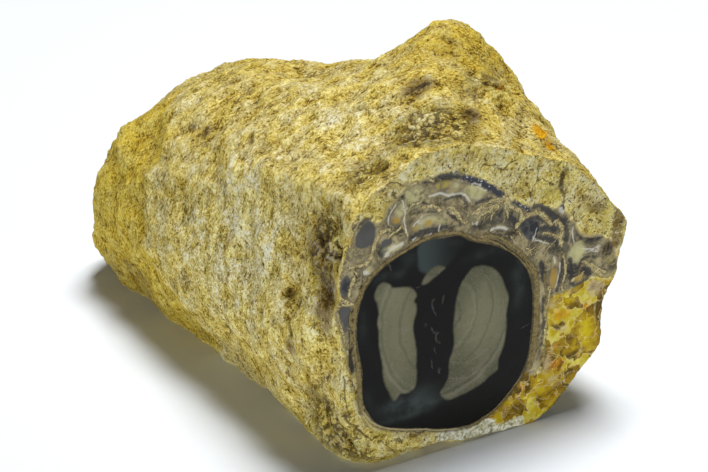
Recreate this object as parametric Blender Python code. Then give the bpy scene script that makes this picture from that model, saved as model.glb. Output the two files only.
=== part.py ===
"""A petrified wood limb in its mineral crust, lying on its side with one end sawn and polished.

The limb, the agate and calcite round it and the rough outer crust are one stone, so the model is one solid.
It is lofted along the limb from a few cross sections, pulled back at flat breaks, given lumps, hollows and a
rough relief, and then sawn flat twice: across the front for the polished face, and along the underside for
the seat it rests on.

Row frame: +Y runs back along the limb from the polished face, +Z is up, +X is right as seen from the front.
The origin is the centre of the bounding box's underside. Metres.
"""

import math

import bmesh
import bpy
from mathutils import Vector, noise

MM = 0.001

# Driving dimensions, in millimetres
FACE_Y = -72.0  # the polished face
STOCK = 7.0  # how far the stone runs on past the saw cut before it is sawn
TAIL_Y = 79.0  # the tip of the broken end
SIDES = 96  # vertices round the limb
RING_GAP = 3.1  # distance between rings along the limb
TAIL_RINGS = 12  # rings that close the broken end

# Cross sections from front to back. Each is (distance along Y, centre x, centre z, radii in millimetres).
# The radii are spaced evenly clockwise from 12 o'clock, as seen from the front: every half hour on the
# polished face, whose outline shows, and every hour behind it.
SECTIONS = [
    (FACE_Y, -2, 44, (41.2, 38.2, 38.2, 39.4, 42.8, 46.6, 43.0, 41.2, 43.5, 45.5, 47.5, 44.5,
                      42.0, 41.7, 44.5, 48.5, 46.0, 41.6, 41.4, 44.6, 46.7, 47.4, 47.5, 44.5)),
    (-63, -2, 44, (43, 42, 46, 46.5, 46, 46, 47, 52, 47, 45, 49, 49)),
    (-45, -2, 45, (48, 49, 47, 46, 46, 49, 49, 58, 51, 48, 51, 51)),
    (-22, -1, 46, (47, 55, 48, 46, 46, 50, 50, 60, 52, 48, 47, 45)),
    (0, -2, 42, (38.5, 43, 46, 45, 45, 47, 46, 58.5, 52, 47, 44, 40.5)),
    (20, -5, 38, (36.5, 39, 42, 43, 43, 44, 42, 55, 51, 46, 42.5, 39.5)),
    (45, -9, 35, (33, 34, 37, 39, 38, 39, 39, 52, 48, 42.5, 39, 34)),
    (64, -14, 32, (25, 27, 31, 32, 32, 33, 35, 43, 43, 37, 30, 25)),
    (TAIL_Y, -18, 28, (18, 18, 19, 20, 20, 20, 23, 27, 28, 25, 21, 18)),
]

# Flat breaks: (a point on the break in millimetres, its outward direction). Stone that stands out past one
# is pulled back to it.
BREAKS = {
    "shoulder": ((32, -46, 73.5), (0.74, -0.16, 0.65)),
    "crest_left": ((4, -20, 93), (-0.45, 0.10, 0.89)),
    "left_side": ((-49, -10, 38), (-0.97, -0.03, 0.22)),
    "right_side": ((43, -5, 45), (0.97, 0.12, 0.18)),
    "back_top": ((24, 30, 66), (0.50, 0.62, 0.60)),
    "tail_end": ((-18, 74, 30), (-0.12, 0.95, 0.28)),
    "tail_corner": ((-48, 66, 30), (-0.80, 0.58, 0.15)),
    "tail_right": ((12, 58, 30), (0.62, 0.77, 0.10)),
}
PULL = 0.85  # how much of the stone past a break is taken off

# Bumps and hollows: (centre x, y, z), reach and height, all in millimetres. A hollow's height is negative.
LUMPS = {
    "foot": ((-37, -63, 3), 12, 5.6),
    "foot_side": ((-45, -54, 13), 7, -1.4),
    "peak": ((21, -22, 96), 10, 3.6),
    "peak_flank": ((27, -28, 88), 9, 3.4),
    "shoulder_edge": ((29, -34, 81), 7, 1.4),
    "crest_knob": ((-14, 30, 73), 10, 2.2),
    "nose_ledge": ((-40, 27, 60), 8, 2.0),
    "nose_step": ((-43, 42, 53), 10, -3.2),
    "nose_top": ((-41, 56, 51), 8, 2.0),
    "tail_knob": ((-51, 61, 34), 8, 1.9),
    "side_notch": ((-47, -53, 46), 3.6, -3.6),
    "side_dent": ((-47, -28, 44), 7, -1.6),
    "front_crevice": ((-42, -60, 66), 5.5, -3.0),
    "front_ledge": ((-42, -52, 75), 7, 1.8),
    "wrinkled_hollow": ((-16, -60, 86), 7, -2.8),
    "top_pocket": ((-7, -50, 91), 6, -1.6),
    "top_saddle": ((-8, -12, 86), 12, -2.6),
    "rear_saddle": ((-6, 17, 76), 12, -2.6),
    "shoulder_split": ((23, -40, 85), 4.5, -1.6),
    "shoulder_ledge": ((29, -46, 77), 6, 1.6),
    "agate_window": ((-48, 38, 8), 9, -1.8),
    "back_hollow": ((46, 12, 40), 18, -4.0),
    "back_knob": ((40, -28, 64), 12, 2.5),
    "back_dent": ((24, 36, 58), 9, -2.6),
    "tail_ledge": ((6, 66, 40), 10, 3.0),
    "tail_dent": ((-22, 78, 38), 8, -2.6),
}


def periodic(values, turn):
    """The value at turn (0 to 1) on a smooth closed curve through evenly spaced values."""
    count = len(values)
    place = turn * count
    i = math.floor(place)
    t = place - i
    a, b, c, d = (values[(i + k) % count] for k in (-1, 0, 1, 2))
    return b + 0.5 * t * (c - a + t * (2 * a - 5 * b + 4 * c - d + t * (3 * (b - c) + d - a)))


def between(places, values, at):
    """The value at a place on a smooth curve through unevenly spaced values."""
    at = min(max(at, places[0]), places[-1])
    i = max(k for k in range(len(places) - 1) if places[k] <= at)
    gap = places[i + 1] - places[i]
    t = (at - places[i]) / gap

    def slope(k):
        if k in (0, len(places) - 1):
            near = 1 if k == 0 else k - 1
            return (values[near] - values[k]) / (places[near] - places[k])
        return (values[k + 1] - values[k - 1]) / (places[k + 1] - places[k - 1])

    rise = values[i + 1] - values[i]
    start, end = slope(i) * gap, slope(i + 1) * gap
    return values[i] + start * t + (3 * rise - 2 * start - end) * t**2 + (start + end - 2 * rise) * t**3


def ring(y, shrink=1.0):
    """One cross section of the limb at y, as points going round clockwise."""
    places = [s[0] for s in SECTIONS]
    x = between(places, [s[1] for s in SECTIONS], y)
    z = between(places, [s[2] for s in SECTIONS], y)
    points = []
    for k in range(SIDES):
        turn = k / SIDES
        radius = shrink * between(places, [periodic(s[3], turn) for s in SECTIONS], y)
        angle = 2 * math.pi * turn
        points.append(Vector((x + radius * math.sin(angle), y, z + radius * math.cos(angle))))
    return points


def rings():
    """Every ring, from the stock that will be sawn off in front to the blunt broken end."""
    start, shoulder = FACE_Y - STOCK, TAIL_Y - 14.0
    count = round((shoulder - start) / RING_GAP)
    made = [ring(start + (shoulder - start) * k / count) for k in range(count)]
    for k in range(TAIL_RINGS):
        t = k / TAIL_RINGS
        made.append(ring(shoulder + (TAIL_Y - shoulder) * (1 - (1 - t) ** 2.2), (1 - t**2.6) ** 0.7))
    return made


def loft(mesh, made):
    """Skins the rings with quads, closes the front with one face and the tail with a fan."""
    rows = [[mesh.verts.new(point * MM) for point in points] for points in made]
    for near, far in zip(rows, rows[1:]):
        for k in range(SIDES):
            after = (k + 1) % SIDES
            mesh.faces.new((near[k], near[after], far[after], far[k]))
    mesh.faces.new(reversed(rows[0]))
    tip = mesh.verts.new(sum(made[-1], Vector()) / SIDES * MM)
    for k in range(SIDES):
        mesh.faces.new((rows[-1][k], rows[-1][(k + 1) % SIDES], tip))
    bmesh.ops.recalc_face_normals(mesh, faces=mesh.faces)


def break_off(mesh):
    """Pulls the stone that stands past each flat break back towards it."""
    for vertex in mesh.verts:
        for place, direction in BREAKS.values():
            outward = Vector(direction).normalized()
            proud = (vertex.co / MM - Vector(place)).dot(outward)
            if proud > 0:
                vertex.co -= outward * proud * PULL * MM


def relief(point):
    """Height of the crust at a point, in millimetres: swells, knobs, plates with grooves between, and grit."""
    swells = 1.6 * noise.noise(point / 31 + Vector((3, 1, 8)))
    knobs = 1.5 * noise.noise(point / 12 + Vector((7, 0, 3)))
    nearest = noise.voronoi(point / 15)[0]
    plates = 1.5 * (min(nearest[1] - nearest[0], 0.4) - 0.25)
    grit = 1.1 * noise.noise(point / 6)
    return swells + knobs + plates + grit


def roughen(mesh):
    """Moves each vertex along its normal by the lumps and the relief."""
    mesh.normal_update()
    moves = []
    for vertex in mesh.verts:
        point = vertex.co / MM
        height = relief(point)
        for centre, reach, lift in LUMPS.values():
            distance = (point - Vector(centre)).length / reach
            height += lift * math.exp(-distance * distance)
        moves.append(vertex.normal * height * MM)
    for vertex, move in zip(mesh.verts, moves):
        vertex.co += move


def saw(mesh, point, outward):
    """Cuts the stone flat at a plane and closes the cut with one flat face."""
    geometry = list(mesh.verts) + list(mesh.edges) + list(mesh.faces)
    cut = bmesh.ops.bisect_plane(
        mesh, geom=geometry, dist=1e-7, plane_co=point, plane_no=outward, clear_outer=True
    )
    edges = [item for item in cut["geom_cut"] if isinstance(item, bmesh.types.BMEdge)]
    bmesh.ops.edgeloop_fill(mesh, edges=edges)
    bmesh.ops.recalc_face_normals(mesh, faces=mesh.faces)


def settle(mesh):
    """Puts the origin at the centre of the bounding box's underside."""
    xs = [vertex.co.x for vertex in mesh.verts]
    ys = [vertex.co.y for vertex in mesh.verts]
    zs = [vertex.co.z for vertex in mesh.verts]
    corner = Vector(((min(xs) + max(xs)) / 2, (min(ys) + max(ys)) / 2, min(zs)))
    bmesh.ops.translate(mesh, verts=mesh.verts, vec=-corner)
    print("origin moved by", tuple(round(value / MM, 3) for value in corner), "mm")


def crust_stone():
    """The material of the whole stone: an ochre, rough mineral crust."""
    material = bpy.data.materials.new("crust_stone")
    material.use_nodes = True
    shader = material.node_tree.nodes["Principled BSDF"]
    shader.inputs["Base Color"].default_value = (0.46, 0.34, 0.13, 1)
    shader.inputs["Roughness"].default_value = 0.85
    shader.inputs["Metallic"].default_value = 0.0
    return material


def limb(collection):
    """The whole stone, as one named object."""
    mesh = bmesh.new()
    loft(mesh, rings())
    break_off(mesh)
    roughen(mesh)
    saw(mesh, Vector((0, FACE_Y * MM, 0)), Vector((0, -1, 0)))
    saw(mesh, Vector((0, 0, 0)), Vector((0, 0, -1)))
    settle(mesh)
    data = bpy.data.meshes.new("limb")
    mesh.to_mesh(data)
    mesh.free()
    data.materials.append(crust_stone())
    stone = bpy.data.objects.new("limb", data)
    collection.objects.link(stone)
    data.shade_smooth()
    data.set_sharp_from_angle(angle=math.radians(40))
    return stone


def main():
    for thing in list(bpy.data.objects):
        bpy.data.objects.remove(thing)
    collection = bpy.data.collections.new("petrified_wood_limb")
    bpy.context.scene.collection.children.link(collection)
    stone = limb(collection)
    print("triangles:", sum(len(face.vertices) - 2 for face in stone.data.polygons))


main()
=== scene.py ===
# %% [markdown]
# # A petrified wood limb with a polished end
#
# The real thing is one stone: an old limb turned to black silica, wrapped in a thin tan rind, then in agate
# and honey-coloured calcite, and last in a rough ochre crust. One end is sawn off and polished. This lesson
# dresses the plain solid of it: first the rough crust as real geometry, then the sawn end as a flat face
# whose pattern is drawn with a few curves, then the materials, and at the end the light and the camera.

import math

import bmesh
import bpy
import numpy as np
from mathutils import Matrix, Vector, geometry


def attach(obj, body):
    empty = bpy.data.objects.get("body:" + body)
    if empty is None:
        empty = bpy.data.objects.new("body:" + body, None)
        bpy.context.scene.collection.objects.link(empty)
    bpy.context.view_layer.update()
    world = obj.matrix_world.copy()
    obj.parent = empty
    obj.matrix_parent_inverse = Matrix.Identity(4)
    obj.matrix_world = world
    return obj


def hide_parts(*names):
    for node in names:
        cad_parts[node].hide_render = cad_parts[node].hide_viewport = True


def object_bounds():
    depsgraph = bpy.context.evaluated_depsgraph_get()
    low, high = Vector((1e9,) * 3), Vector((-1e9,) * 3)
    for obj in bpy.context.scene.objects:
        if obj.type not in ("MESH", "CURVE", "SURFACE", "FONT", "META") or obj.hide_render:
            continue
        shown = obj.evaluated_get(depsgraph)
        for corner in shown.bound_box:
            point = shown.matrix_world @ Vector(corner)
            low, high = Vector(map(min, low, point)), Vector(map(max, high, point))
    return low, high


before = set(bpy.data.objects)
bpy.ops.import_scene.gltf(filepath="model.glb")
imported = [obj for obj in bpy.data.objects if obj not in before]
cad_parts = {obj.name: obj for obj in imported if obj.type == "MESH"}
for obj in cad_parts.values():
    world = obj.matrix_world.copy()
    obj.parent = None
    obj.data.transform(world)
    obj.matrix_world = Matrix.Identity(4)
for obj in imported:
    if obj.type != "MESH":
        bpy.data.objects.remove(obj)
solid_low, solid_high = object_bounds()
print("solid:", [round(1000 * (b - a), 1) for a, b in zip(solid_low, solid_high)], "mm")

# %% [markdown]
# ## Measures
#
# Every size is given in millimetres, because the crust is judged grain by grain. The polished face is the
# plane at the front of the box, and the seat is the plane z = 0. `GRAIN` is the size of the crust's
# squares, `STOCK` is what the saw takes off, and whatever is nearer than `HAIR` lies in a plane.

# %% Measures
MM = 0.001
FACE_Y = solid_low.y / MM
SEAT_Z = 0.0
GRAIN = 0.95
STOCK = 3.0
HAIR = 0.01
print("polished face at y =", round(FACE_Y, 2), "mm")

# %% [markdown]
# ## The block to carve
#
# The look needs far more points than the solid has. A copy of the solid is merged, because its triangles
# are loose, and both sawn faces are pushed out a little. That leaves stock for the saw, so that the cut
# is made last, through the finished crust, as on the real stone.

# %% The block to carve


def pick_only(thing):
    """Leaves one object selected and active."""
    bpy.ops.object.select_all(action="DESELECT")
    thing.select_set(True)
    bpy.context.view_layer.objects.active = thing


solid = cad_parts["limb"]
stone = bpy.data.objects.new("petrified_limb", solid.data.copy())
bpy.context.scene.collection.objects.link(stone)
stone.data.materials.clear()
pick_only(stone)
bpy.ops.object.mode_set(mode="EDIT")
bpy.ops.mesh.select_all(action="SELECT")
bpy.ops.mesh.remove_doubles(threshold=0.00001)


def select_flat(direction, limit):
    """Selects the faces that look along direction and lie at limit millimetres or further that way."""
    bpy.ops.object.mode_set(mode="EDIT")
    bpy.ops.mesh.select_mode(type="FACE")
    bpy.ops.mesh.select_all(action="DESELECT")
    bpy.ops.object.mode_set(mode="OBJECT")
    way = Vector(direction)
    flat = [p for p in stone.data.polygons if p.normal.dot(way) > 0.999]
    chosen = [p for p in flat if p.center.dot(way) / MM > limit]
    for polygon in chosen:
        polygon.select = True
    bpy.ops.object.mode_set(mode="EDIT")
    return len(chosen)


def push_out(direction, limit, stock):
    """Extrudes a flat face along direction, by stock millimetres."""
    count = select_flat(direction, limit)
    bpy.ops.mesh.extrude_region_move(TRANSFORM_OT_translate={"value": Vector(direction) * stock * MM})
    bpy.ops.object.mode_set(mode="OBJECT")
    print("pushed out", count, "faces")


push_out((0, -1, 0), -FACE_Y - HAIR, STOCK)
push_out((0, 0, -1), -SEAT_Z - HAIR, STOCK)
print("block:", len(stone.data.vertices), "points")

# %% [markdown]
# ## An even skin
#
# A voxel remesh covers the block with small even squares, one grain wide. An even skin takes the same
# roughness everywhere, which long thin triangles would not.

# %% An even skin


def even_out():
    """Covers the stone anew with squares one grain wide."""
    stone.data.remesh_voxel_size = GRAIN * MM
    stone.data.use_remesh_fix_poles = False
    bpy.ops.object.voxel_remesh()


even_out()
print("skin:", len(stone.data.polygons), "squares")

# %% [markdown]
# ## Where the crust is rough
#
# The crust isn't equally rough. It is full of small caves behind the upper edge of the polished face and at
# the foot, and smooth where a patch of agate shows through. A few soft spots say where: each has a centre,
# a reach and a strength, and the rest is a little rough everywhere. They become a vertex group, which the
# modifiers below can follow.

# %% Where the crust is rough


def per_point(what):
    """Three numbers for each point of the stone: its place, "co", or its normal."""
    flat = np.empty(3 * len(stone.data.vertices), np.float32)
    stone.data.vertices.foreach_get(what, flat)
    return flat.reshape(-1, 3)


def point_places():
    """Where the stone's points are, in millimetres."""
    return per_point("co").astype(float) / MM


def spots(points, places):
    """Adds up soft round spots, given as centre, reach and strength."""
    amount = np.zeros(len(points))
    for centre, reach, strength in places:
        amount += strength * np.exp(-(((points - centre) / reach) ** 2).sum(1))
    return amount


ROUGH = [
    ((-7, -60, 87), (10, 9, 6), 0.75),
    ((-24, -66, 80), (9, 7, 7), 0.55),
    ((-38, -67, 62), (6, 7, 14), 0.6),
    ((-37, -67, 12), (7, 8, 9), 0.6),
    ((20, -50, 88), (8, 9, 6), 0.35),
    ((-43, 40, 6), (9, 14, 9), -0.8),
]


def weigh(name, weights):
    """Makes a vertex group from an array of weights, in twenty steps."""
    group = stone.vertex_groups.new(name=name)
    steps = np.clip(np.round(weights * 20), 0, 20).astype(int)
    for step in range(21):
        group.add(np.nonzero(steps == step)[0].tolist(), step / 20, "REPLACE")


EVERYWHERE = 0.17
rough = np.clip(EVERYWHERE + spots(point_places(), ROUGH), 0.03, 1)
weigh("rough", rough)
print("roughness from", round(rough.min(), 2), "to", round(rough.max(), 2))

# %% [markdown]
# ## The rough crust
#
# The crust is a porous mass of small crystals. It has knobs a few millimetres across, thin flakes that run
# round the limb, and pits. Each is one Displace modifier with its own procedural texture, so each can be
# tuned alone. An empty gives the texture its stretch: the flakes are long round the limb and thin along it.

# %% The rough crust


def roughen(name, kind, size, strength, stretch=(1, 1, 1), group="", **settings):
    """Displaces the stone with one procedural texture. Size and strength are in millimetres."""
    texture = bpy.data.textures.new(name, kind)
    texture.noise_scale = size * MM
    for setting, value in settings.items():
        setattr(texture, setting, value)
    guide = bpy.data.objects.new(name + "_guide", None)
    bpy.context.scene.collection.objects.link(guide)
    guide.scale = stretch
    bpy.context.view_layer.update()
    push = stone.modifiers.new(name, "DISPLACE")
    push.texture = texture
    push.texture_coords = "OBJECT"
    push.texture_coords_object = guide
    push.mid_level = 0.5
    push.strength = strength * MM
    push.vertex_group = group
    bpy.ops.object.modifier_apply(modifier=push.name)
    bpy.data.objects.remove(guide)
    print(name, "applied")


roughen("knobs", "CLOUDS", 7.0, 1.1, noise_depth=1)
roughen("caves", "VORONOI", 2.6, 2.6, group="rough", distance_metric="DISTANCE")
roughen("flakes", "CLOUDS", 1.8, 2.4, stretch=(2.2, 1.0, 2.2), group="rough", noise_depth=2)
print("crust:", len(stone.data.polygons), "squares")

# %% [markdown]
# ## Clefts and the broken end
#
# A few clefts and caves are deeper than the grain: behind the upper edge of the polished face, low on the
# near side, on the shoulder and on the peak. Each is a short stroke through places on the crust, with a
# depth and a half width, and points near it are pushed in. The broken end starts with a small step, where a
# layer of crust has come off. `STEP_Z` and `STEP_Y` trace that step down the near side, it ends below
# `STEP_TOP` and before `STEP_SIDE`, and it wavers as a fracture does. Another remesh evens the skin out
# afterwards, and fine grit goes on last.

# %% Clefts and the broken end


def smooth(corners, closed=True, steps=5):
    """A smooth curve through a few points, as an array of short edges."""
    corners = np.array(corners, float)
    count = len(corners)
    curve = []
    for i in range(count if closed else count - 1):
        near = range(i - 1, i + 3)
        a, b, c, d = corners[[k % count if closed else min(max(k, 0), count - 1) for k in near]]
        for t in np.arange(steps) / steps:
            bend = 2 * a - 5 * b + 4 * c - d + t * (3 * (b - c) + d - a)
            curve.append(b + 0.5 * t * (c - a + t * bend))
    if not closed:
        curve.append(corners[-1])
    curve = np.array(curve)
    ends = np.roll(curve, -1, 0) if closed else curve[1:]
    return np.stack([curve if closed else curve[:-1], ends], 1)


def distance(places, edges):
    """How far each place is from the nearest of some edges."""
    found = np.full(len(places), np.inf)
    for start, end in edges:
        run = end - start
        t = np.clip((places - start) @ run / max(run @ run, 1e-12), 0, 1)
        found = np.minimum(found, np.linalg.norm(places - start - t[:, None] * run, axis=1))
    return found


CLEFTS = [
    (2.2, 1.3, [(-37.2, -71.6, 63.4), (-38, -70, 62.6)]),
    (1.3, 1.2, [(-35.4, -67.4, 69), (-36.6, -65, 66), (-37.4, -63, 63)]),
    (1.8, 1.1, [(-41, -53.6, 46), (-41.4, -52.6, 45)]), (1.0, 1.0, [(-39.4, -70, 52), (-39.6, -69, 49.6)]),
    (1.2, 0.9, [(-41.7, -61.4, 25.6), (-40.8, -62.2, 22), (-39.8, -66, 23.4)]),
    (1.2, 0.9, [(-39.2, -67.6, 20.7), (-38.2, -66, 17)]),
    (1.1, 1.0, [(-37.6, -65, 13.5), (-36.8, -67, 11.8)]), (0.9, 0.8, [(-43.6, -56, 40), (-43.8, -59, 36.5)]),
    (1.0, 0.9, [(-35, -72.6, 9.8), (-33.4, -72, 7.6)]),
    (0.9, 0.6, [(-15.9, -37, 83.9), (-13.6, -40.6, 85.4), (-11.4, -44.6, 87), (-7.7, -48.3, 88.7)]),
    (0.8, 1.1, [(-4.4, -47.6, 90.4), (-0.6, -48.2, 92), (4.6, -50.2, 92.3)]),
    (0.9, 1.1, [(7, -60, 87.6), (8.4, -61, 87)]),
    (1.3, 0.8, [(17.4, -50.6, 90.6), (20.7, -52.2, 89.2), (25.6, -52.4, 86)]),
    (0.9, 0.7, [(26, -57, 83), (29, -58, 80)]), (1.3, 1.0, [(16.4, -33, 97), (19, -36, 96)]),
    (0.9, 0.8, [(22, -38, 93.4), (23.4, -41, 91.4)]), (1.0, 1.0, [(-31.6, -13.6, 72), (-32.4, -15.4, 71)]),
    (0.8, 0.8, [(-44.8, -21, 42.4), (-45, -24.6, 40)]), (0.9, 0.7, [(-42.4, -36.6, 58), (-42.8, -39, 54)]),
    (0.8, 0.8, [(-21, -56, 82.6), (-18.4, -60.4, 84.4)]),
    (1.2, 0.9, [(-14.6, -69.6, 86), (-10.4, -67.4, 87.4), (-6.6, -69, 87.6)]),
    (1.1, 0.9, [(-25.6, -65.4, 79.4), (-22.6, -68.4, 82)]),
]


def carved(places, strokes):
    """How deep the strokes cut at each place, in millimetres, fading to 0 away from them."""
    depth = np.zeros(len(places))
    for deep, half_width, corners in strokes:
        fade = np.exp(-((distance(places, smooth(corners, closed=False)) / half_width) ** 2))
        depth = np.maximum(depth, deep * fade)
    return depth


STEP_Z = (12, 17, 22, 28, 33, 40, 48, 53, 60)
STEP_Y = (-2, 4.5, 15.4, 19.2, 24.5, 26.6, 26.7, 23.9, 24.6)
STEP_TOP = 60
STEP_SIDE = -24
STEP_DEPTH = 1.0


def past_step(places):
    """From 0 on the near side to 1 past the small step where the broken end starts."""
    x, y, z = places.T
    front = np.interp(z, STEP_Z, STEP_Y) + 1.3 * np.sin(0.7 * z) + 0.8 * np.sin(1.9 * z + 1)
    top = STEP_TOP + 0.8 * np.sin(0.6 * y)
    past = np.minimum(np.minimum(y - front, top - z), (STEP_SIDE - x) * 0.5)
    return 1 / (1 + np.exp(-np.clip(1.3 * past, -30, 30)))


places = point_places()
depth = carved(places, CLEFTS) + STEP_DEPTH * past_step(places)
places -= depth[:, None] * per_point("normal")
stone.data.vertices.foreach_set("co", (places * MM).astype(np.float32).ravel())
stone.data.update()
even_out()
roughen("grit", "CLOUDS", 1.2, 0.9, noise_depth=1)
print("deepest cleft:", round(depth.max(), 2), "mm;", len(stone.data.polygons), "squares")

# %% [markdown]
# ## The saw
#
# A saw cut takes off everything past a plane, and what is left open is capped with a flat sheet of small
# triangles. A single flat face would close it too. But the pattern of the polished face is stored on its
# points, so it needs points all over, and a triangulation that keeps the cut's outline gives them. The new
# points lie in rows, `ROW_STEP` of a triangle's side apart, and none is nearer to the rim than `RIM_GAP` of
# a side. The seat carries no pattern, so its triangles are larger.

# %% The saw
ROW_STEP = 0.866
RIM_GAP = 0.45


def inside(places, edges):
    """Which places, as (x, y) pairs, lie inside an outline given as an array of edges."""
    x, y = places[:, 0, None], places[:, 1, None]
    (x1, y1), (x2, y2) = edges[:, 0].T, edges[:, 1].T
    spans = (y1 > y) != (y2 > y)
    with np.errstate(divide="ignore", invalid="ignore"):
        crossing = x < x1 + (x2 - x1) * (y - y1) / (y2 - y1)
    return (spans & crossing).sum(1) % 2 == 1


def cap(mesh, rim, axes, spacing):
    """Closes a flat cut with triangles, spacing millimetres apart, and returns how many it took."""
    number = {v: i for i, v in enumerate({v for e in rim for v in e.verts})}
    outline = np.array([[v.co[a] / MM for a in axes] for v in number])
    pairs = [(number[e.verts[0]], number[e.verts[1]]) for e in rim]
    edges = outline[np.array(pairs)]
    low, high = outline.min(0), outline.max(0)
    rows = np.arange(low[1], high[1], spacing * ROW_STEP)
    columns = np.arange(low[0], high[0], spacing)
    fill = np.array([(x + (k % 2) * spacing / 2, y) for k, y in enumerate(rows) for x in columns])
    fill = fill[inside(fill, edges)]
    fill = fill[distance(fill, edges) > RIM_GAP * spacing]
    places = [Vector(p) for p in np.vstack([outline, fill])]
    found, _, triangles, origin, _, _ = geometry.delaunay_2d_cdt(places, pairs, [], 0, 1e-5)
    found = np.array(found)
    keep = inside(found[np.array(triangles)].mean(1), edges)
    old = list(number)
    level = old[0].co[3 - sum(axes)]
    corners = []
    for place, source in zip(found, origin):
        if source and source[0] < len(old):
            corners.append(old[source[0]])
            continue
        spot = [level] * 3
        spot[axes[0]], spot[axes[1]] = place * MM
        corners.append(mesh.verts.new(spot))
    for triangle, kept in zip(triangles, keep):
        if kept:
            mesh.faces.new([corners[i] for i in triangle])
    return int(keep.sum())


def saw(level, direction, axes, spacing):
    """Cuts off what lies past level along direction, and caps the cut."""
    mesh = bmesh.new()
    mesh.from_mesh(stone.data)
    way = Vector(direction)
    everything = [*mesh.verts, *mesh.edges, *mesh.faces]
    plane = {"plane_co": way * level * MM, "plane_no": way}
    bmesh.ops.bisect_plane(mesh, geom=everything, dist=1e-6, clear_outer=True, **plane)
    rim = [v for v in mesh.verts if v.is_boundary]
    bmesh.ops.remove_doubles(mesh, verts=rim, dist=0.03 * MM)
    for vertex in mesh.verts:
        if vertex.is_boundary:
            vertex.co += way * (level * MM - vertex.co.dot(way))
    rim = [e for e in mesh.edges if e.is_boundary]
    count = cap(mesh, rim, axes, spacing)
    bmesh.ops.recalc_face_normals(mesh, faces=mesh.faces)
    mesh.verts.index_update()
    loose = [v for v in mesh.verts if not v.link_faces]
    bmesh.ops.delete(mesh, geom=loose, context="VERTS")
    mesh.to_mesh(stone.data)
    open_edges = sum(1 for e in mesh.edges if not e.is_manifold)
    mesh.free()
    print("saw cut capped with", count, "triangles;", open_edges, "open edges")


saw(-SEAT_Z, (0, 0, -1), (0, 1), spacing=2.5)
saw(-FACE_Y, (0, -1, 0), (0, 2), spacing=0.5)

# %% [markdown]
# ## Hollows and high spots
#
# What stands out is paler and the pits are darker. This is partly pale dust and dark clay, and partly
# painted light on the high spots and painted shade in the hollows. Both follow how far a point lies above
# or below the smoothed surface round it. That height is worked out here once, by averaging each point
# with its neighbours a few times, and is stored on the points as `height` for the crust's material.

# %% Hollows and high spots


def store(name, values):
    """Stores one number per point on the stone."""
    numbers = stone.data.attributes.new(name, "FLOAT", "POINT")
    numbers.data.foreach_set("value", np.asarray(values, np.float32))


def averaged(values, times):
    """Averages every point's value with its neighbours' values, several times over."""
    pairs = np.empty(2 * len(stone.data.edges), np.int32)
    stone.data.edges.foreach_get("vertices", pairs)
    a, b = pairs.reshape(-1, 2).T
    size = len(values)
    count = np.bincount(a, minlength=size) + np.bincount(b, minlength=size) + 1.0
    for _ in range(times):
        columns = []
        for column in values.T:
            gathered = np.bincount(a, column[b], size) + np.bincount(b, column[a], size)
            columns.append((column + gathered) / count)
        values = np.stack(columns, 1)
    return values


points = point_places()
# Height above the smoothed surface. The crust paints light on the high spots and shade in the hollows from
# it.
height = ((points - averaged(points, times=10)) * averaged(per_point("normal"), times=6)).sum(1)
on_face = points[:, 1] < FACE_Y + HAIR
height[on_face] = 0
store("height", height)
print("height from", round(height.min(), 2), "to", round(height.max(), 2), "mm")

# %% [markdown]
# ## Stains on the crust
#
# The crust is beige on the near side, where a broad pale spot also paints on the light that falls there.
# It is ochre at the broken end and on the far shoulder, greyer in a few places, and orange in one. Loose
# rubble lies behind the polished face, and a honey window shows through low on the near side. Soft spots
# again say where, and each stain is one number on the points. The clefts get painted shade, darker the
# deeper they are.

# %% Stains on the crust
OCHRE = [
    ((17, -32, 98), (16, 18, 9), 0.7),
    ((30, -30, 88), (20, 30, 16), 0.7),
    ((20, -34, 95), (12, 14, 8), 0.5),
    ((-6, 30, 75), (34, 14, 8), 0.45),
    ((45, 10, 40), (20, 70, 40), 0.6),
    ((-42.2, 8.6, 51.6), (2, 2.4, 2), 0.9),
    ((-40, -40, 18), (8, 26, 10), 0.5),
]
PALE = [
    ((-39, -27, 60), (8, 14, 10), 0.6),
    ((-42, -42, 50), (2, 1.6, 5), 0.8),
    ((-39.4, -43, 60), (2, 2, 3), 0.8),
    ((-26.7, 29.7, 66.2), (3, 4, 3), 1.0),
    ((-18.9, -35.5, 81.7), (3, 3, 2), 0.8),
    ((-39.1, -52.4, 11.5), (1.5, 3, 3), 0.7),
    ((-42.9, -67.3, 40.4), (3, 3, 3), 1.1),
    ((-41, -65.6, 48.6), (3, 1.2, 4), 0.8),
    ((-25, -25, 84), (18, 26, 12), 0.3),
    ((-20, -46, 82), (8, 8, 6), 0.4),
    # This broad spot brightens the whole near side: a pale stain and painted light together.
    ((-44, -22, 42), (8, 34, 24), 0.55),
]
GREY = [
    ((-36.5, -69, 10), (5, 6, 4), 0.3),
    ((-30, -72, 5), (6, 4, 3), 0.2),
    ((-39.5, -62, 20), (3, 4, 3), 0.4),
    ((-9, -66, 87), (12, 7, 4), 0.3),
    ((-1, -48.5, 91.5), (5, 4, 4), 0.8),
    ((-38.4, -62.5, 62), (4, 6, 7), 0.6),
    ((16, -37, 95), (9, 9, 6), 0.25),
    ((-39.9, -69.6, 50), (4, 4, 8), 0.9),
    ((-33, 9.6, 64.5), (2.4, 2.2, 2.4), 1.0),
    ((-33.4, 18.2, 62.6), (1.4, 1.4, 1.4), 1.0),
    ((-44.4, -58.4, 32.8), (3, 2.6, 3), 0.7),
    ((7.6, -60.6, 87.2), (3, 2.4, 3), 0.8),
    ((-36, -71, 34), (3, 5, 16), 0.5),
    ((-43, -25, 8), (4, 10, 6), 0.4),
]
ORANGE = [
    ((27.6, -62.6, 79.3), (1.8, 2.8, 1.8), 1.3),
    ((25.9, -67.1, 79), (1.8, 3, 1.8), 1.7),
    ((26.3, -69.4, 77.2), (1.6, 1.8, 1.6), 0.9),
    ((22, -51.6, 88), (3, 2, 2), 0.6),
]
HONEY = [((-43, 41, 6), (8, 15, 8), 1.5)]
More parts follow.
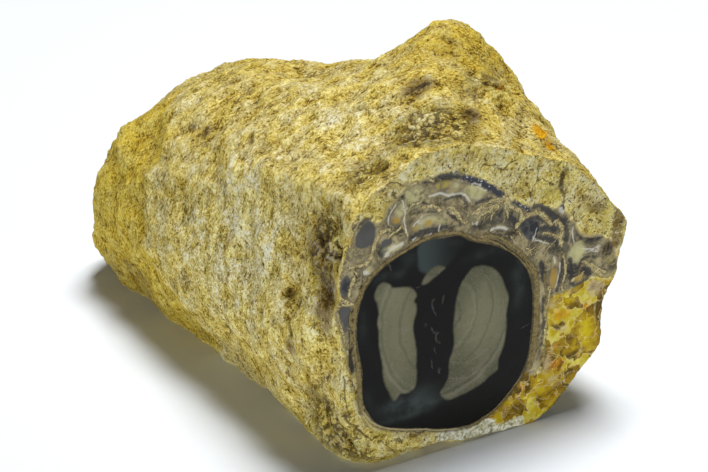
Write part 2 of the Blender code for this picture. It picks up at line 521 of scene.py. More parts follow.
RUBBLE = [
    ((-6, -64, 87), (11, 8, 5), 1.2),
    ((-26, -66, 79), (6, 6, 5), 0.8),
    ((-37, -66, 63), (5, 6, 9), 1.2),
    ((-37, -66, 12), (6, 7, 8), 1.1),
    ((-31, -71, 7), (8, 5, 4), 1.1),
    ((20, -50, 90), (9, 5, 5), 0.6),
]
STAINS = {
    "ochre": OCHRE, "pale": PALE, "grey": GREY, "orange": ORANGE, "honey": HONEY, "rubble": RUBBLE,
}
for stain, places in STAINS.items():
    store(stain, np.clip(spots(points, places), 0, 1))
# Painted shade in the clefts, darker the deeper they cut.
store("cleft", np.clip(0.6 * carved(points, CLEFTS), 0, 1))
store("broken", past_step(points))
print("stains stored:", list(STAINS), "and cleft, broken")

# %% [markdown]
# ## Drawing the sawn end
#
# The polished face shows a cross section, and its pattern is a drawing: the outline of the limb, the pale
# patches inside it, the agate round it with its pools and strands, and the calcite. Each is a smooth
# curve through a few points, (x, z) in millimetres, as a pen would draw it. A shape is stored as the distance
# from its outline. A line is stored as the distance across it in half widths, with a sign that tells its two
# sides apart, so that even a line thinner than the triangles comes out clean. Thin lines tremble a little,
# because nothing in the stone grew as smoothly as a pen moves.

# %% Flat drawings
FAR = 9.0
face_points = points[on_face][:, (0, 2)]


def shape_field(*outlines):
    """How far each point of the face is outside the nearest closed outline; negative inside."""
    found = np.full(len(face_points), np.inf)
    for corners in outlines:
        edges = smooth(corners)
        far = distance(face_points, edges)
        found = np.minimum(found, np.where(inside(face_points, edges), -far, far))
    return found


def stroke_field(strokes):
    """How far each point of the face is from the nearest stroke, given as half width and points."""
    found = np.full(len(face_points), np.inf)
    for half_width, corners in strokes:
        found = np.minimum(found, distance(face_points, smooth(corners, closed=False)) - half_width)
    return found


def store_on_face(name, values):
    """Stores a number on the points of the polished face; elsewhere it is far away."""
    everywhere = np.full(len(points), FAR)
    everywhere[on_face] = np.clip(values, -FAR, FAR)
    store(name, everywhere)


def shaky(corners, amount):
    """A smooth open curve that trembles a little, the same way every time."""
    edges = smooth(corners, closed=False)
    path = np.vstack([edges[:, 0], edges[-1:, 1]])
    path += np.random.default_rng(len(corners)).normal(0, amount, path.shape)
    return np.stack([path[:-1], path[1:]], 1)


def store_lines(name, strokes, tremble, thickness=1.0):
    """Stores strokes as thin lines: where they run, and how near they are."""
    across = np.full(len(face_points), FAR)
    near = across.copy()
    for half_width, corners in strokes:
        half_width = thickness * half_width
        for start, end in shaky(corners, tremble):
            run = end - start
            offset = face_points - start
            t = np.clip(offset @ run / max(run @ run, 1e-12), 0, 1)
            away = np.linalg.norm(offset - t[:, None] * run, axis=1)
            side = np.where(run[0] * offset[:, 1] < run[1] * offset[:, 0], -1, 1)
            closer = away - half_width < near
            across[closer] = (side * away / half_width)[closer]
            near[closer] = (away - half_width)[closer]
    store_on_face(name, across)
    store_on_face(name + "_near", near)


print("points on the polished face:", len(face_points))

# %% [markdown]
# ## The limb
#
# The limb is an egg-shaped black core. Two pale patches and a sliver lie in it, where the silica turned to
# clay-coloured chalcedony, and small flecks catch the light between them. A sandy tan rind runs round it, in
# strokes of uneven width with a few open gaps painted black as shade, and thins to a bright line at the
# lower left.

# %% The limb
CORE = [
    (-9.5, 62.2), (-5, 61.8), (-1.5, 59.5), (2, 58), (6, 56.3), (10.5, 53.5), (14, 50), (16.7, 45.8),
    (18, 41.5), (18.5, 37), (18.5, 32), (18.2, 27), (17.8, 22), (16.5, 18), (14.5, 14.5), (11.5, 11.2),
    (8, 8.2), (4, 6.5), (0, 5.4), (-5, 5.8), (-10, 7), (-15, 8.7), (-20, 10.2), (-25, 11.9), (-28.6, 14.2),
    (-31, 17.8), (-32.6, 21.6), (-32.9, 26), (-32.9, 31), (-33.6, 35), (-34.4, 40), (-34.4, 45),
    (-33.6, 49.5), (-32, 53.5), (-29, 56.8), (-24, 59.7), (-19, 61.5), (-14, 62.7),
]
LEFT_PATCH = [
    (-29, 52.5), (-27.5, 54.2), (-25.5, 53.5), (-24, 52), (-21.5, 51.5), (-19, 50.8), (-17.8, 49.5),
    (-17.1, 48), (-17.9, 46.6), (-17.2, 45.4), (-17.1, 43.4), (-17.7, 41.6), (-18.1, 38.8), (-17.7, 36.6),
    (-17.2, 34), (-16.9, 31.4), (-17, 28), (-16.8, 25.6), (-16.9, 23), (-17.6, 21.4), (-19, 20.6),
    (-20.4, 20.7), (-21.6, 20.9), (-22.6, 19.9), (-23.4, 19.4), (-24.2, 20.6), (-25, 22.4), (-26, 24.6),
    (-26.8, 27.6), (-27, 31), (-27.5, 34), (-28, 37), (-28.1, 41), (-28.5, 43.4), (-28.1, 46), (-28.6, 48.6),
    (-29.3, 50.6),
]
RIGHT_PATCH = [
    (-1, 51.3), (1, 51.7), (3, 51.4), (6, 49.7), (8.4, 46.6), (9.6, 43.5), (10.9, 40), (10.3, 36.4),
    (10.4, 31.5), (9.8, 26.5), (8.3, 22.8), (8, 19.8), (5.6, 18.4), (3.4, 16.9), (-1, 15.6), (-5, 15),
    (-7.6, 15.2), (-9.6, 17.6), (-8.4, 19.4), (-7, 22), (-7, 26), (-5.6, 30.6), (-5.9, 35.8),
    (-5.6, 40.2), (-5.1, 44.4), (-3.6, 48.4),
]
SLIVER = [
    (-15.6, 51), (-14.4, 53.2), (-12.6, 54.6), (-10.6, 54.8), (-8.8, 53.8), (-10.2, 52.8), (-12.4, 51.6),
    (-14, 50.8),
]
FLECKS = [
    (0.22, [(-12.2, 45.7), (-12.5, 44.2), (-12.1, 42.8)]), (0.24, [(-9.1, 45.6), (-9.5, 44.2)]),
    (0.12, [(-11.8, 42), (-11.3, 41)]), (0.16, [(-14.5, 39), (-14.3, 38.8)]),
    (0.2, [(-12.5, 37.4), (-12, 36.2)]), (0.22, [(-10.8, 35.9), (-11.2, 34.6), (-11, 33.4)]),
    (0.15, [(-10.4, 33), (-10.2, 32.6)]), (0.14, [(-11.6, 31.4), (-11.4, 30.2)]),
    (0.14, [(-12.4, 28), (-12.2, 26)]), (0.24, [(-10.1, 24.9), (-10, 23.9)]),
    (0.2, [(-28.2, 43.8), (-27.7, 42)]), (0.22, [(-25.3, 58.8), (-24.8, 57.4)]),
    (0.12, [(17.4, 30.6), (15.4, 30)]), (0.1, [(-17.2, 50.2), (-16.6, 50.4)]),
]
# The outline of one veil of painted reflection on the polished core.
REFLECTION_VEIL = [
    (-16.7, 62), (-16.9, 58.6), (-16.2, 55), (-13, 53.4), (-8.6, 54), (-5.6, 56.6), (-4.4, 59.6), (-5, 62.4),
    (-12, 63.6),
]
RINGS = [
    (0.1, [(-5.6, 32), (-2, 30.6), (2, 31.2), (5.4, 34.4), (6.6, 39), (6, 44), (3.4, 48.6)]),
    (0.1, [(-6.8, 26), (-2, 24.6), (3, 25.8), (7, 29.6), (9, 35), (9.2, 40)]),
    (0.1, [(-5, 36.8), (-2.4, 35.6), (0.4, 36.8), (1.8, 40), (1, 44)]),
    (0.1, [(-7, 21.4), (-2, 20), (3, 21), (7, 24.4)]),
]
RIND = [
    (0.75, [(-32.9, 19), (-33.5, 22), (-33.7, 26), (-33.8, 30), (-34.2, 33)]),
    (0.35, [(-34.2, 33), (-34.6, 35), (-35, 38), (-35.1, 41)]),
    (0.16, [(-36.3, 33), (-36, 36), (-36.2, 40), (-36.3, 43)]),
    (0.6, [(-35.1, 41), (-35.3, 44), (-35.1, 46)]), (0.3, [(-35.9, 44), (-36.4, 46.6), (-35.9, 49)]),
    (0.7, [(-35.1, 46), (-34.6, 49), (-33.8, 51.4), (-32.9, 53.4)]),
    (0.45, [
        (-32.9, 53.4), (-31.3, 55.9), (-29.4, 57.6), (-27.2, 58.9), (-24.8, 60.1), (-22, 61), (-18.6, 62.2),
        (-15, 63.2), (-11.4, 63.7), (-8.4, 63.4),
    ]),
    (0.4, [(-8.4, 63.4), (-5.4, 62.7), (-2.4, 61.2), (0, 59.7), (2.4, 58.7), (4.6, 58.1), (6.4, 57)]),
    (0.24, [(6.4, 57), (8.2, 55.7), (10.2, 54), (12.2, 52.3), (14.2, 50.2), (16, 47.8), (17.4, 45.4)]),
    (0.4, [
        (3, 59.8), (5.4, 59.1), (7.8, 58), (9.6, 56.6), (11.6, 54.9), (13.4, 53.2), (15, 51.4), (16.8, 49),
    ]),
    (0.7, [(17.6, 48), (19, 44.6), (19.7, 41), (20, 36), (20.1, 31), (19.9, 26), (19.3, 21), (18.4, 17.6)]),
    (0.3, [(21.9, 44), (22.3, 41), (22.9, 38.6), (22.8, 35.4)]),
    (0.22, [(18.9, 40), (19.2, 34), (19.1, 28), (18.4, 22), (17.4, 17.8)]),
    (0.18, [(-1, 4.9), (2, 5.2), (5, 6.4), (8, 8), (11.4, 10.9), (14.2, 13.7), (16, 15.6)]),
]
SHINE = [
    (0.2, [
        (-32.6, 18.8), (-31.4, 16.9), (-29.8, 14.9), (-27.8, 13.2), (-25.4, 11.9), (-23, 10.8), (-20.4, 9.9),
    ]),
    (0.16, [(-20.4, 9.9), (-17, 8.9), (-14, 8.2), (-12, 7.3), (-9.6, 6.5), (-7, 5.9), (-4, 5.2)]),
]
# Open gaps in the rind, painted black as shade.
GAPS = [
    (0.1, [(4.6, 58.4), (7, 57.2), (8.5, 56.1), (9.5, 55), (11, 53.8), (13, 52), (15, 49.8)]),
    (0.2, [(6, 57.8), (7, 57.3)]), (0.2, [(8.8, 55.8), (9.4, 55)]), (0.18, [(-36, 48.4), (-35.6, 48.8)]),
    (0.16, [(-35.8, 46.2), (-35.7, 45.6)]), (0.2, [(-34.6, 57.6), (-35.2, 58.8)]),
    (0.22, [(-33.6, 54.2), (-33.2, 55)]), (0.16, [(-36.1, 43), (-35.9, 42.4)]),
    (0.12, [(-34.8, 41.4), (-34.4, 40)]), (0.5, [(-36.2, 38), (-36.3, 35), (-35.9, 32)]),
    (0.12, [(18.2, 29.4), (18.6, 28.6)]),
]
core = shape_field(CORE)
store_on_face("core", core)
store_on_face("patch", shape_field(LEFT_PATCH, RIGHT_PATCH, SLIVER))
store_on_face("reflection_veil", shape_field(REFLECTION_VEIL))
store_lines("fleck", FLECKS, tremble=0.07)
store_lines("ring", RINGS, tremble=0.07)
store_lines("rind", RIND, tremble=0.07, thickness=0.85)
store_lines("shine", SHINE, tremble=0.07)
store_lines("gap", GAPS, tremble=0.07)
print("core is", round(np.ptp(face_points[core < 0][:, 0]), 1), "mm wide")

# %% [markdown]
# ## The agate
#
# Round the rind lies agate, grey-brown and cloudy. Pools of cream and grey chalcedony fill what were its
# last hollows, with thin white lines along their lower rims. Tan strands of the first growth cross it, each
# rimmed with painted shade. Dark bands, small caves painted dark as shade, and a sparkling seam lie
# between.

# %% The agate
AGATE = [
    (-36.2, 31), (-37.3, 36), (-38.3, 41), (-39.6, 45), (-40.4, 50.5), (-40.4, 54), (-40.4, 58.5),
    (-39.6, 63), (-38.8, 67), (-37.5, 70.5), (-35.5, 72), (-32, 72.8), (-29.4, 71.5), (-27.4, 71.6),
    (-26.2, 74.4), (-24.6, 75.6), (-22.5, 77.6), (-19, 79), (-15, 80), (-11, 79.9), (-7, 79.2), (-3, 77.9),
    (0, 76.8), (3, 75), (6, 72.8), (8.3, 70.4), (10.5, 68.2), (13, 66.6), (16, 65.2), (19.5, 64.8),
    (22, 63.8), (24.5, 62.6), (26.4, 63.4), (28.2, 60.8), (29.4, 58.6), (31.2, 57), (32.2, 54.8),
    (34.6, 52.4), (37.6, 52), (40, 51), (42, 49.8), (43.6, 48), (44.6, 45), (46, 41), (43.4, 38.2),
    (40.5, 38.4), (38, 39.6), (35, 38.4), (32, 37.2), (29, 36.8), (25.5, 37), (23.5, 36.5), (22.6, 33),
    (22.6, 28), (22.4, 22), (22, 17), (18, 14.5), (8, 18), (-10, 20), (-26, 24),
]
POOLS = [
    [
        (-14, 75.4), (-13, 77.4), (-10, 78.4), (-7, 77.6), (-5, 76.4), (-2.5, 75.6), (0, 75), (2, 73.8),
        (3.5, 72.6), (3.8, 71.5), (2.5, 70.8), (0.5, 70.2), (-1, 70.6), (-2, 71.2), (-2.5, 72.5), (-4, 73.5),
        (-6, 73.7), (-8.4, 73.7), (-9.4, 74.5), (-11, 74.9),
    ],
    [
        (-18.6, 66.4), (-18, 68), (-16.4, 69.2), (-14, 69.6), (-11, 69.2), (-9.6, 68), (-8.4, 66.6),
        (-10, 66), (-13, 65.9), (-17, 66),
    ],
    [(-24.8, 70.2), (-25.2, 71.6), (-24, 73.6), (-22.6, 74), (-21.8, 72), (-22, 70), (-23.4, 69.6)],
    [
        (29.6, 56.2), (30.6, 56.2), (30.8, 54), (31, 52), (31.8, 50.6), (33.4, 49.2), (35.4, 48.5),
        (37, 48.3), (38.5, 48.9), (39.6, 48.6), (39.7, 47.4), (38.8, 46.2), (37.5, 46.5), (36, 47.2),
        (34.5, 46.9), (33.2, 45.7), (32.3, 43.3), (31.7, 44.6), (31, 46.5), (30.2, 48.4), (28.8, 50),
        (30, 51.4), (29.9, 54),
    ],
    [
        (24.2, 48.6), (25.6, 48.2), (26.6, 46), (26.7, 44), (26.2, 41.6), (25.2, 39.4), (23.8, 39.4),
        (23.2, 42), (23.6, 45),
    ],
    [(3.6, 61.8), (5, 63), (7, 63.4), (9.4, 61.4), (10.2, 60.2), (8.2, 60.2), (6, 60.7), (4.4, 61)],
    [(-26.4, 61.1), (-25, 63), (-22.6, 64.3), (-21, 64.5), (-21.3, 63), (-23.4, 62.2)],
    [(-32.6, 59.2), (-31.6, 60.6), (-30, 59.8), (-29, 58.4), (-30.4, 57.2), (-32, 57)],
]
LENSES = [
    [
        (-34.9, 66.6), (-34.7, 69), (-33, 71.1), (-31.2, 72.3), (-29.7, 71.2), (-29.2, 69), (-29.6, 66.5),
        (-31, 65.3), (-33, 65.1), (-34.3, 65.6),
    ],
    [
        (-39.8, 49.9), (-38, 50.4), (-36.4, 49.8), (-36.2, 47.6), (-36.8, 45.6), (-37.6, 43), (-38.4, 45.4),
        (-39.2, 47.6),
    ],
    [(13.6, 60), (16, 61.2), (18.4, 60.8), (19.4, 58.6), (19.2, 56), (18.2, 54.8), (16.6, 55.2), (15, 56.8)],
    [(-38.8, 57.8), (-37.2, 58.8), (-36.2, 56.8), (-36.6, 54.2), (-37.8, 53), (-39, 54.6)],
    [(-28, 62), (-27.4, 65.6), (-25, 66.2), (-24.4, 64.6), (-26.4, 62.8), (-27.4, 60.8)],
]
STRANDS = [
    (0.6, [(-40.2, 53.8), (-39.8, 58), (-39, 63), (-38, 66.6), (-36.9, 69.2)]),
    (0.3, [(-36.6, 66.4), (-35.9, 69.4), (-34.4, 71.6)]),
    (0.35, [(-39.8, 53.6), (-38.4, 52.4), (-36.4, 50.8), (-35.2, 50.4)]),
    (0.3, [(-40.2, 50.6), (-38, 50.9), (-36, 50.3)]), (0.45, [(-36.8, 53.6), (-35.6, 56.4), (-34.8, 58.6)]),
    (0.35, [(-40.2, 49.6), (-39.6, 46.6), (-38.6, 43.2), (-37.8, 40), (-37, 36.4)]),
    (0.45, [
        (-36.2, 60.6), (-33.6, 60.5), (-31.2, 60.7), (-30.4, 62.4), (-29.6, 65), (-28.6, 66.8), (-27.4, 68.2),
        (-25.6, 68.5),
    ]),
    (0.3, [(-25.4, 66.6), (-23.6, 67.2), (-22, 68.2)]), (0.28, [(-21.6, 68.6), (-20.6, 67), (-20.1, 65.6)]),
    (0.25, [(-19.6, 73.2), (-18, 73.6), (-16.4, 73.7)]),
    (0.4, [(-15.4, 72.2), (-13.4, 72), (-11.8, 71.4), (-10.8, 70.2)]),
    (0.35, [(-8.2, 70.4), (-6.5, 69.5), (-5.2, 67.8), (-4, 65.8), (-3, 65)]),
    (0.2, [(-7.4, 69), (-6, 67.8), (-4.8, 66)]),
    (0.32, [(-0.7, 67.1), (1, 68), (3, 68.7), (5.2, 69.4), (6.2, 69.2)]),
    (0.28, [(1.2, 65.7), (3, 66.3), (5, 67), (6.5, 67.8), (8, 68.5)]),
    (0.12, [(0, 66.6), (2, 67.2), (4.2, 67.7), (6, 68)]), (0.18, [(4.5, 64.4), (5.5, 65.6), (6.8, 66.9)]),
    (0.25, [(8.3, 69.6), (8.8, 67.4), (9.3, 65.4), (9.8, 63.4)]),
    (0.4, [(9, 68.8), (10.2, 66.5), (11.5, 65.3), (13, 64.8), (13.8, 63.6), (14.2, 61.8)]),
    (0.55, [
        (12.9, 60.4), (14, 61.6), (15.5, 62.5), (17.5, 62.8), (19.5, 62.4), (21, 61), (22.3, 59.4),
        (23, 58.5),
    ]),
    (0.55, [(25, 58.5), (26.3, 57.2), (26.9, 55.6), (26.5, 54), (26.6, 52.4), (26.8, 51.5)]),
    (0.3, [(21, 56.1), (22.5, 55.8), (24.4, 54.9), (26, 53.8)]),
    (0.3, [(27.5, 48.1), (28.2, 46), (28.6, 44), (28.3, 42), (27.6, 39.4), (27.9, 37.7)]),
    (0.12, [(16, 51), (17.6, 52.4), (18.6, 52.8)]), (0.14, [(18.4, 50.4), (20.4, 52.6), (21.6, 53.6)]),
    (0.14, [(21.4, 50.2), (23.4, 52), (25, 53.2)]), (0.13, [(15.6, 53.4), (16.8, 52.4), (17.4, 51)]),
    (0.16, [(11, 57.6), (12, 56)]), (0.16, [(12.8, 58.6), (13.6, 57.8), (14.2, 57), (14.8, 55.4)]),
    (0.12, [(17.4, 48.4), (18.4, 47.2), (19.2, 46)]),
    (0.4, [(34.3, 44.8), (36.2, 43.2), (38.3, 41), (40.8, 38.9)]),
    (0.22, [(36.4, 44), (38.6, 42), (41.6, 39.8)]),
    (0.42, [(31, 40.2), (32.5, 40.5), (33.4, 39.8), (33.2, 40.7), (34, 41.2)]),
    (0.45, [(23.2, 40), (23.8, 38.6), (23.4, 35.6), (23.5, 33), (23.8, 30.6)]),
    (0.3, [(-21.4, 79.6), (-19.8, 79.4), (-17.4, 79.2)]),
    (0.25, [(-14.6, 80.2), (-13.6, 79.2), (-12.8, 78.4)]),
]
WHITES = [
    (0.24, [
        (-13.4, 74.8), (-10.6, 74.8), (-9.3, 74.1), (-8, 73.7), (-5.5, 73.6), (-4, 73.1), (-2.8, 72),
        (-2.2, 70.9),
    ]),
    (0.16, [(0.4, 74), (1.8, 73), (2.8, 72.3)]), (0.16, [(-1.6, 75.3), (-0.4, 75.1), (1, 74.5)]),
    (0.14, [(-25.7, 70.2), (-25.2, 72.4), (-23.6, 74.6)]),
    (0.16, [(-21.6, 75.2), (-20.8, 72), (-21, 69.4), (-20.4, 66.8)]),
    (0.16, [(-18.4, 68), (-17, 68.7), (-16, 69.6)]), (0.12, [(-17.2, 68.7), (-16.3, 67.8)]),
    (0.4, [(-26, 61.6), (-24.6, 62.9), (-22.8, 63.4), (-21.6, 63.6)]), (0.14, [(-20.4, 73.2), (-20.8, 72.6)]),
    (0.3, [(5, 61.1), (6.6, 61.3), (8.2, 60.9), (9.7, 60.1)]), (0.25, [(17.7, 55.1), (17.9, 55.9)]),
    (0.1, [(18.2, 56), (18.7, 58)]), (0.13, [(18.4, 54.9), (20, 54.2), (22.6, 52.8)]),
    (0.16, [(30.1, 55.6), (30.3, 53.4), (30.8, 51.2)]),
    (0.13, [(33.4, 48.8), (35.4, 48.1), (37.2, 47.8), (38.8, 48.4)]),
    (0.12, [(34.8, 47.2), (36.8, 47.2), (38.4, 46.5)]), (0.12, [(39.2, 48.2), (38.6, 47.4), (38.8, 46.9)]),
    (0.14, [(26.6, 46.2), (26.7, 44), (26.1, 41.6), (25.6, 39.6)]), (0.16, [(24.6, 48.4), (25, 46.8)]),
    (0.14, [(-18.4, 63.9), (-17.8, 64.3)]), (0.14, [(-14.2, 63.8), (-13.4, 64.3)]),
    (0.16, [(-11, 64.8), (-10.8, 66)]), (0.15, [(-1, 64.2), (-0.7, 64.1)]), (0.15, [(0.2, 64), (0.5, 64.1)]),
    (0.4, [(25.8, 62.3), (26.2, 61.4), (26.8, 60.8)]), (0.12, [(-31.8, 58.6), (-31, 57.8)]),
    (0.3, [(-32.4, 58.4), (-31.8, 58)]),
]
# Dark bands of the agate. They are partly smoky agate and partly painted shade in small caves and voids.
DARKS = [
    (0.6, [(-11, 79.6), (-8, 79.1), (-5.6, 78.2), (-3.4, 77.4)]),
    (0.5, [(-33.6, 72), (-32, 72.8), (-30.6, 72.5)]), (0.4, [(-37.7, 67.6), (-36.4, 70), (-34.8, 71.8)]),
    (0.3, [(-36.7, 46), (-36.5, 42), (-36.2, 38)]), (0.55, [(-36.4, 38), (-36.1, 35), (-35.6, 31.2)]),
    (0.2, [(-26.4, 60.3), (-25.4, 61), (-24, 61.5), (-22, 62), (-21, 62.4)]),
    (0.75, [(-19.4, 64.4), (-17, 65.1), (-15, 65.3), (-13, 65.1), (-11.6, 65.1)]),
    (0.6, [(-10.2, 65.3), (-8.6, 65.2)]), (0.5, [(-8.2, 68.9), (-7.2, 67.8), (-5.6, 66.4), (-4.6, 64.8)]),
    (0.3, [(-22.3, 68.6), (-21.3, 67.3)]), (0.3, [(-16.8, 73.3), (-15.5, 73.5), (-14.4, 72.7)]),
    (0.35, [(-17, 71.2), (-14.5, 70.6), (-12, 70.2)]),
    (0.45, [(-9.4, 72.9), (-6.6, 73), (-4.6, 72.5), (-3.3, 71), (-2.9, 69.4)]),
    (0.5, [(0, 69.5), (2.4, 70), (4.8, 70)]), (0.7, [(20, 57.5), (22.4, 57.4), (24.3, 56.4)]),
    (0.7, [(20, 55), (22.8, 54), (25.4, 52.5)]),
    (0.5, [(14.4, 59.8), (15.4, 61.2), (18.4, 61.4), (20.4, 60)]), (0.6, [(17.6, 64.7), (20, 64.2)]),
    (0.9, [(20.6, 63.4), (22.6, 61.9), (24.6, 60), (26.8, 58.2)]),
    (0.8, [(27.4, 57.4), (28.3, 55.4), (28.2, 52.6)]),
    (0.5, [(30.4, 39.5), (32, 38.3), (34, 38.5), (36, 39.6)]),
    (0.8, [(34.6, 42.6), (35.8, 41.4), (36.4, 40.4)]),
    (0.45, [(27.2, 47.6), (27.3, 44), (26.7, 41), (26.1, 38.4)]),
    (0.6, [(29.8, 46.4), (30.4, 43.4), (30.2, 41.4)]),
    (0.3, [(31.5, 44.6), (32.2, 42.6), (33, 44.4), (34.4, 45.9), (37, 45.4), (39, 45.2)]),
    (0.3, [(31.9, 53.4), (33.4, 51.6), (36.4, 50.4), (40, 50.6)]),
    (0.45, [(21.7, 37), (21.8, 34), (22.3, 30), (22.2, 26), (21.8, 23.4)]),
    (0.5, [(17, 10.4), (18, 12.2), (19.4, 14.2)]), (0.6, [(9.8, 63.4), (11.4, 62.6), (12.2, 61.4)]),
    (0.5, [(7.2, 64.4), (8, 66)]), (0.5, [(20.6, 48), (21.2, 45.4), (21.4, 42.6)]),
    (0.4, [(-37.9, 57.6), (-37.6, 54.8)]), (0.4, [(-15.6, 79), (-14.2, 78.6)]),
]
SEAM = [
    (0.95, [(-3.6, 77.4), (-1, 76.2), (2, 74.5), (4.4, 72.8), (6.2, 71.4), (7.6, 70.2)]),
    (0.5, [(11.6, 67.4), (13.6, 65.6), (15.4, 65), (16, 64)]), (0.45, [(26.4, 62.6), (26.8, 62.1)]),
]
store_on_face("agate", shape_field(AGATE))
store_on_face("pool", shape_field(*POOLS))
store_on_face("lens", shape_field(*LENSES))
store_lines("strand", STRANDS, tremble=0.08, thickness=0.95)
store_lines("white", WHITES, tremble=0.06)
store_on_face("dark", stroke_field(DARKS))
store_on_face("seam", stroke_field(SEAM))
print("agate drawn with", len(STRANDS), "strands and", len(POOLS), "pools")

# %% [markdown]
# ## The calcite, the sawn crust and the tints
#
# Honey-yellow calcite fills the lower right, split by milky veins. A pale sparkling strip runs below the
# core. The rest of the face is crust, sawn through, with brown cracks and gaps in it. Soft spots tint all
# of it: cream, amber, lemon, smoky grey, milky white and brown.

# %% The calcite, the sawn crust and the tints
CALCITE = [
    (22.4, 15.5), (22.8, 19), (23, 24), (23.2, 29), (23.4, 33), (24.6, 36.6), (28, 37.2), (31.5, 37.6),
    (34.5, 38.4), (37.5, 39.4), (41, 38), (46, 36), (46, 28), (44, 18), (38, 8), (29, 0), (18, -3),
    (8, 1), (6, 4.4), (3.5, 6), (7.8, 8.4), (11.2, 11.4), (14.2, 14.6), (17, 16.4), (19.6, 14.6),
]
STRIP = [
    (-9, 6.2), (-5, 5.4), (0, 5), (3.4, 5.6), (7.4, 4.8), (8.4, 3), (12, 2.6), (15, 3.2), (17, 2.4), (16, -1),
    (6, -2), (-4, -1), (-10, 3),
]
VEINS = [
    (0.16, [(24.8, 30.2), (26.3, 28.3), (28, 27), (29.8, 26.2)]),
    (0.11, [(25.2, 31), (26.6, 32.3), (28, 32.9), (29.4, 32.6)]),
    (0.12, [(23.4, 21.6), (26, 21.2), (29.4, 20.7), (31, 20.3)]),
    (0.1, [(26, 22), (26.8, 24.4), (27.2, 26), (29, 27.2)]),
    (0.1, [(30.4, 35.2), (32.2, 33.6), (34, 33), (35.6, 32.4), (37.6, 31.4)]),
    (0.08, [(29.4, 32.6), (31.2, 31), (31.6, 29), (33.4, 27.6)]),
    (0.16, [(22.8, 15.4), (24, 12.6), (25.6, 11), (28, 10.3), (29, 11), (28.6, 13), (29.4, 14.6)]),
    (0.14, [(34.2, 27.4), (34.6, 26), (34.3, 23), (34.6, 20.4), (35.2, 18.4)]),
    (0.2, [(30, 15.6), (31.4, 16.4), (33.6, 17.3), (35.2, 18.2)]),
    (0.14, [(38.9, 32.4), (38.6, 28.4), (39.3, 24.4), (39.2, 21.8), (38.3, 21)]),
    (0.1, [(34.4, 33), (34, 30), (34.6, 27.6)]),
    (0.16, [(20, 10.6), (23.4, 10.2), (27, 9.3), (28.8, 9.7), (29.8, 11), (29.4, 12.6)]),
    (0.16, [(12.6, 9.4), (13, 8), (14.4, 6.4), (15.4, 5)]),
    (0.18, [(15.2, 9), (15.8, 7.6), (17.2, 6.4), (18.6, 5.8)]),
    (0.18, [(7.6, 3.2), (10, 2.8), (13, 3), (14.6, 3.4)]), (0.12, [(10.4, 7.6), (11.4, 6.8), (12.6, 6.4)]),
    (0.15, [(18.6, 16.2), (20, 16.4), (21.4, 15.4), (22.6, 14.2)]),
    (0.1, [(27.6, 17.8), (25.4, 19), (23.6, 19.2)]),
    (0.1, [(31.6, 24), (33, 22.4), (35.8, 21.6), (38, 21.4)]), (0.08, [(24.4, 24.6), (25.6, 23.2)]),
    (0.3, [(-4.8, 4.4), (-4.3, 3.9)]), (0.3, [(0.2, 4), (1.4, 3)]), (0.22, [(2, 2.4), (3.2, 1.6)]),
    (0.16, [(4.8, 2.8), (6.2, 3.4)]), (0.1, [(18.4, 8.6), (20, 9.4), (21.8, 9.8)]),
    (0.1, [(36, 38.6), (38, 38), (40.2, 36.6)]), (0.08, [(38.4, 36), (39.6, 34.8), (41, 34.6)]),
]
CRACKS = [
    (0.2, [(5.8, 78.2), (7, 77.4), (8.6, 77.5), (10, 78.6), (12, 79)]),
    (0.16, [(18.5, 75.4), (18.4, 73), (18.2, 71.4), (17, 70), (16.4, 68), (16.8, 66.4)]),
    (0.14, [(18.3, 71.4), (20, 71.7), (21.5, 70.8), (23.6, 69.4)]),
    (0.5, [(27.6, 73), (26.3, 71.5), (25.8, 70), (26, 68), (26.8, 66.6)]),
    (0.3, [(26.8, 66.6), (27.1, 65), (26.8, 63.4)]), (0.12, [(12.6, 74.2), (14.6, 75.4), (16.6, 75)]),
    (0.25, [(20.4, 79.2), (22.4, 78.2)]), (0.14, [(30.2, 60.4), (30.4, 58.4), (31, 57)]),
    (0.16, [(0.6, 78.6), (2.6, 79.6), (4.6, 78.8)]), (0.4, [(-40.4, 66), (-41.2, 64.4), (-41.6, 62)]),
    (0.45, [(-24.4, 78.2), (-23.9, 77)]), (0.14, [(-27, 79.2), (-25.6, 80.6), (-23.6, 80.8), (-22.2, 80)]),
    (0.2, [(-38, 30.2), (-38, 27), (-37.7, 23.6), (-37, 20.6), (-36.2, 18.2)]),
    (0.14, [(-36.4, 29.4), (-35.2, 26.6), (-34.6, 23.4), (-33.4, 20), (-32.2, 17.6)]),
    (0.35, [(-38.4, 20.2), (-37.6, 18.4), (-36.4, 16.2)]),
    (0.22, [(-34.6, 15.4), (-33.6, 13.4), (-31.6, 11.4), (-29.8, 9.6)]),
    (0.3, [(-36.6, 12.4), (-36.6, 10.4), (-35.6, 9)]), (0.2, [(-35.6, 12.2), (-34.2, 11.4), (-33, 11.2)]),
    (0.25, [(-35, 8), (-32.8, 6.8), (-30.6, 5.8)]), (0.35, [(-23, 7.4), (-22, 7), (-21.4, 6.8)]),
    (0.2, [(-28.6, 8.8), (-26.8, 8), (-25.4, 6.6)]), (0.25, [(-19, 8.8), (-16.8, 8), (-14.6, 7.2)]),
    (0.16, [(-25.6, 5.6), (-23.4, 4.2), (-22, 3.6)]), (0.12, [(-39.2, 25.6), (-39.6, 22)]),
    (0.3, [(2.2, 5.3), (2.9, 5.5)]), (0.25, [(16, 15), (16.6, 14.6)]),
]
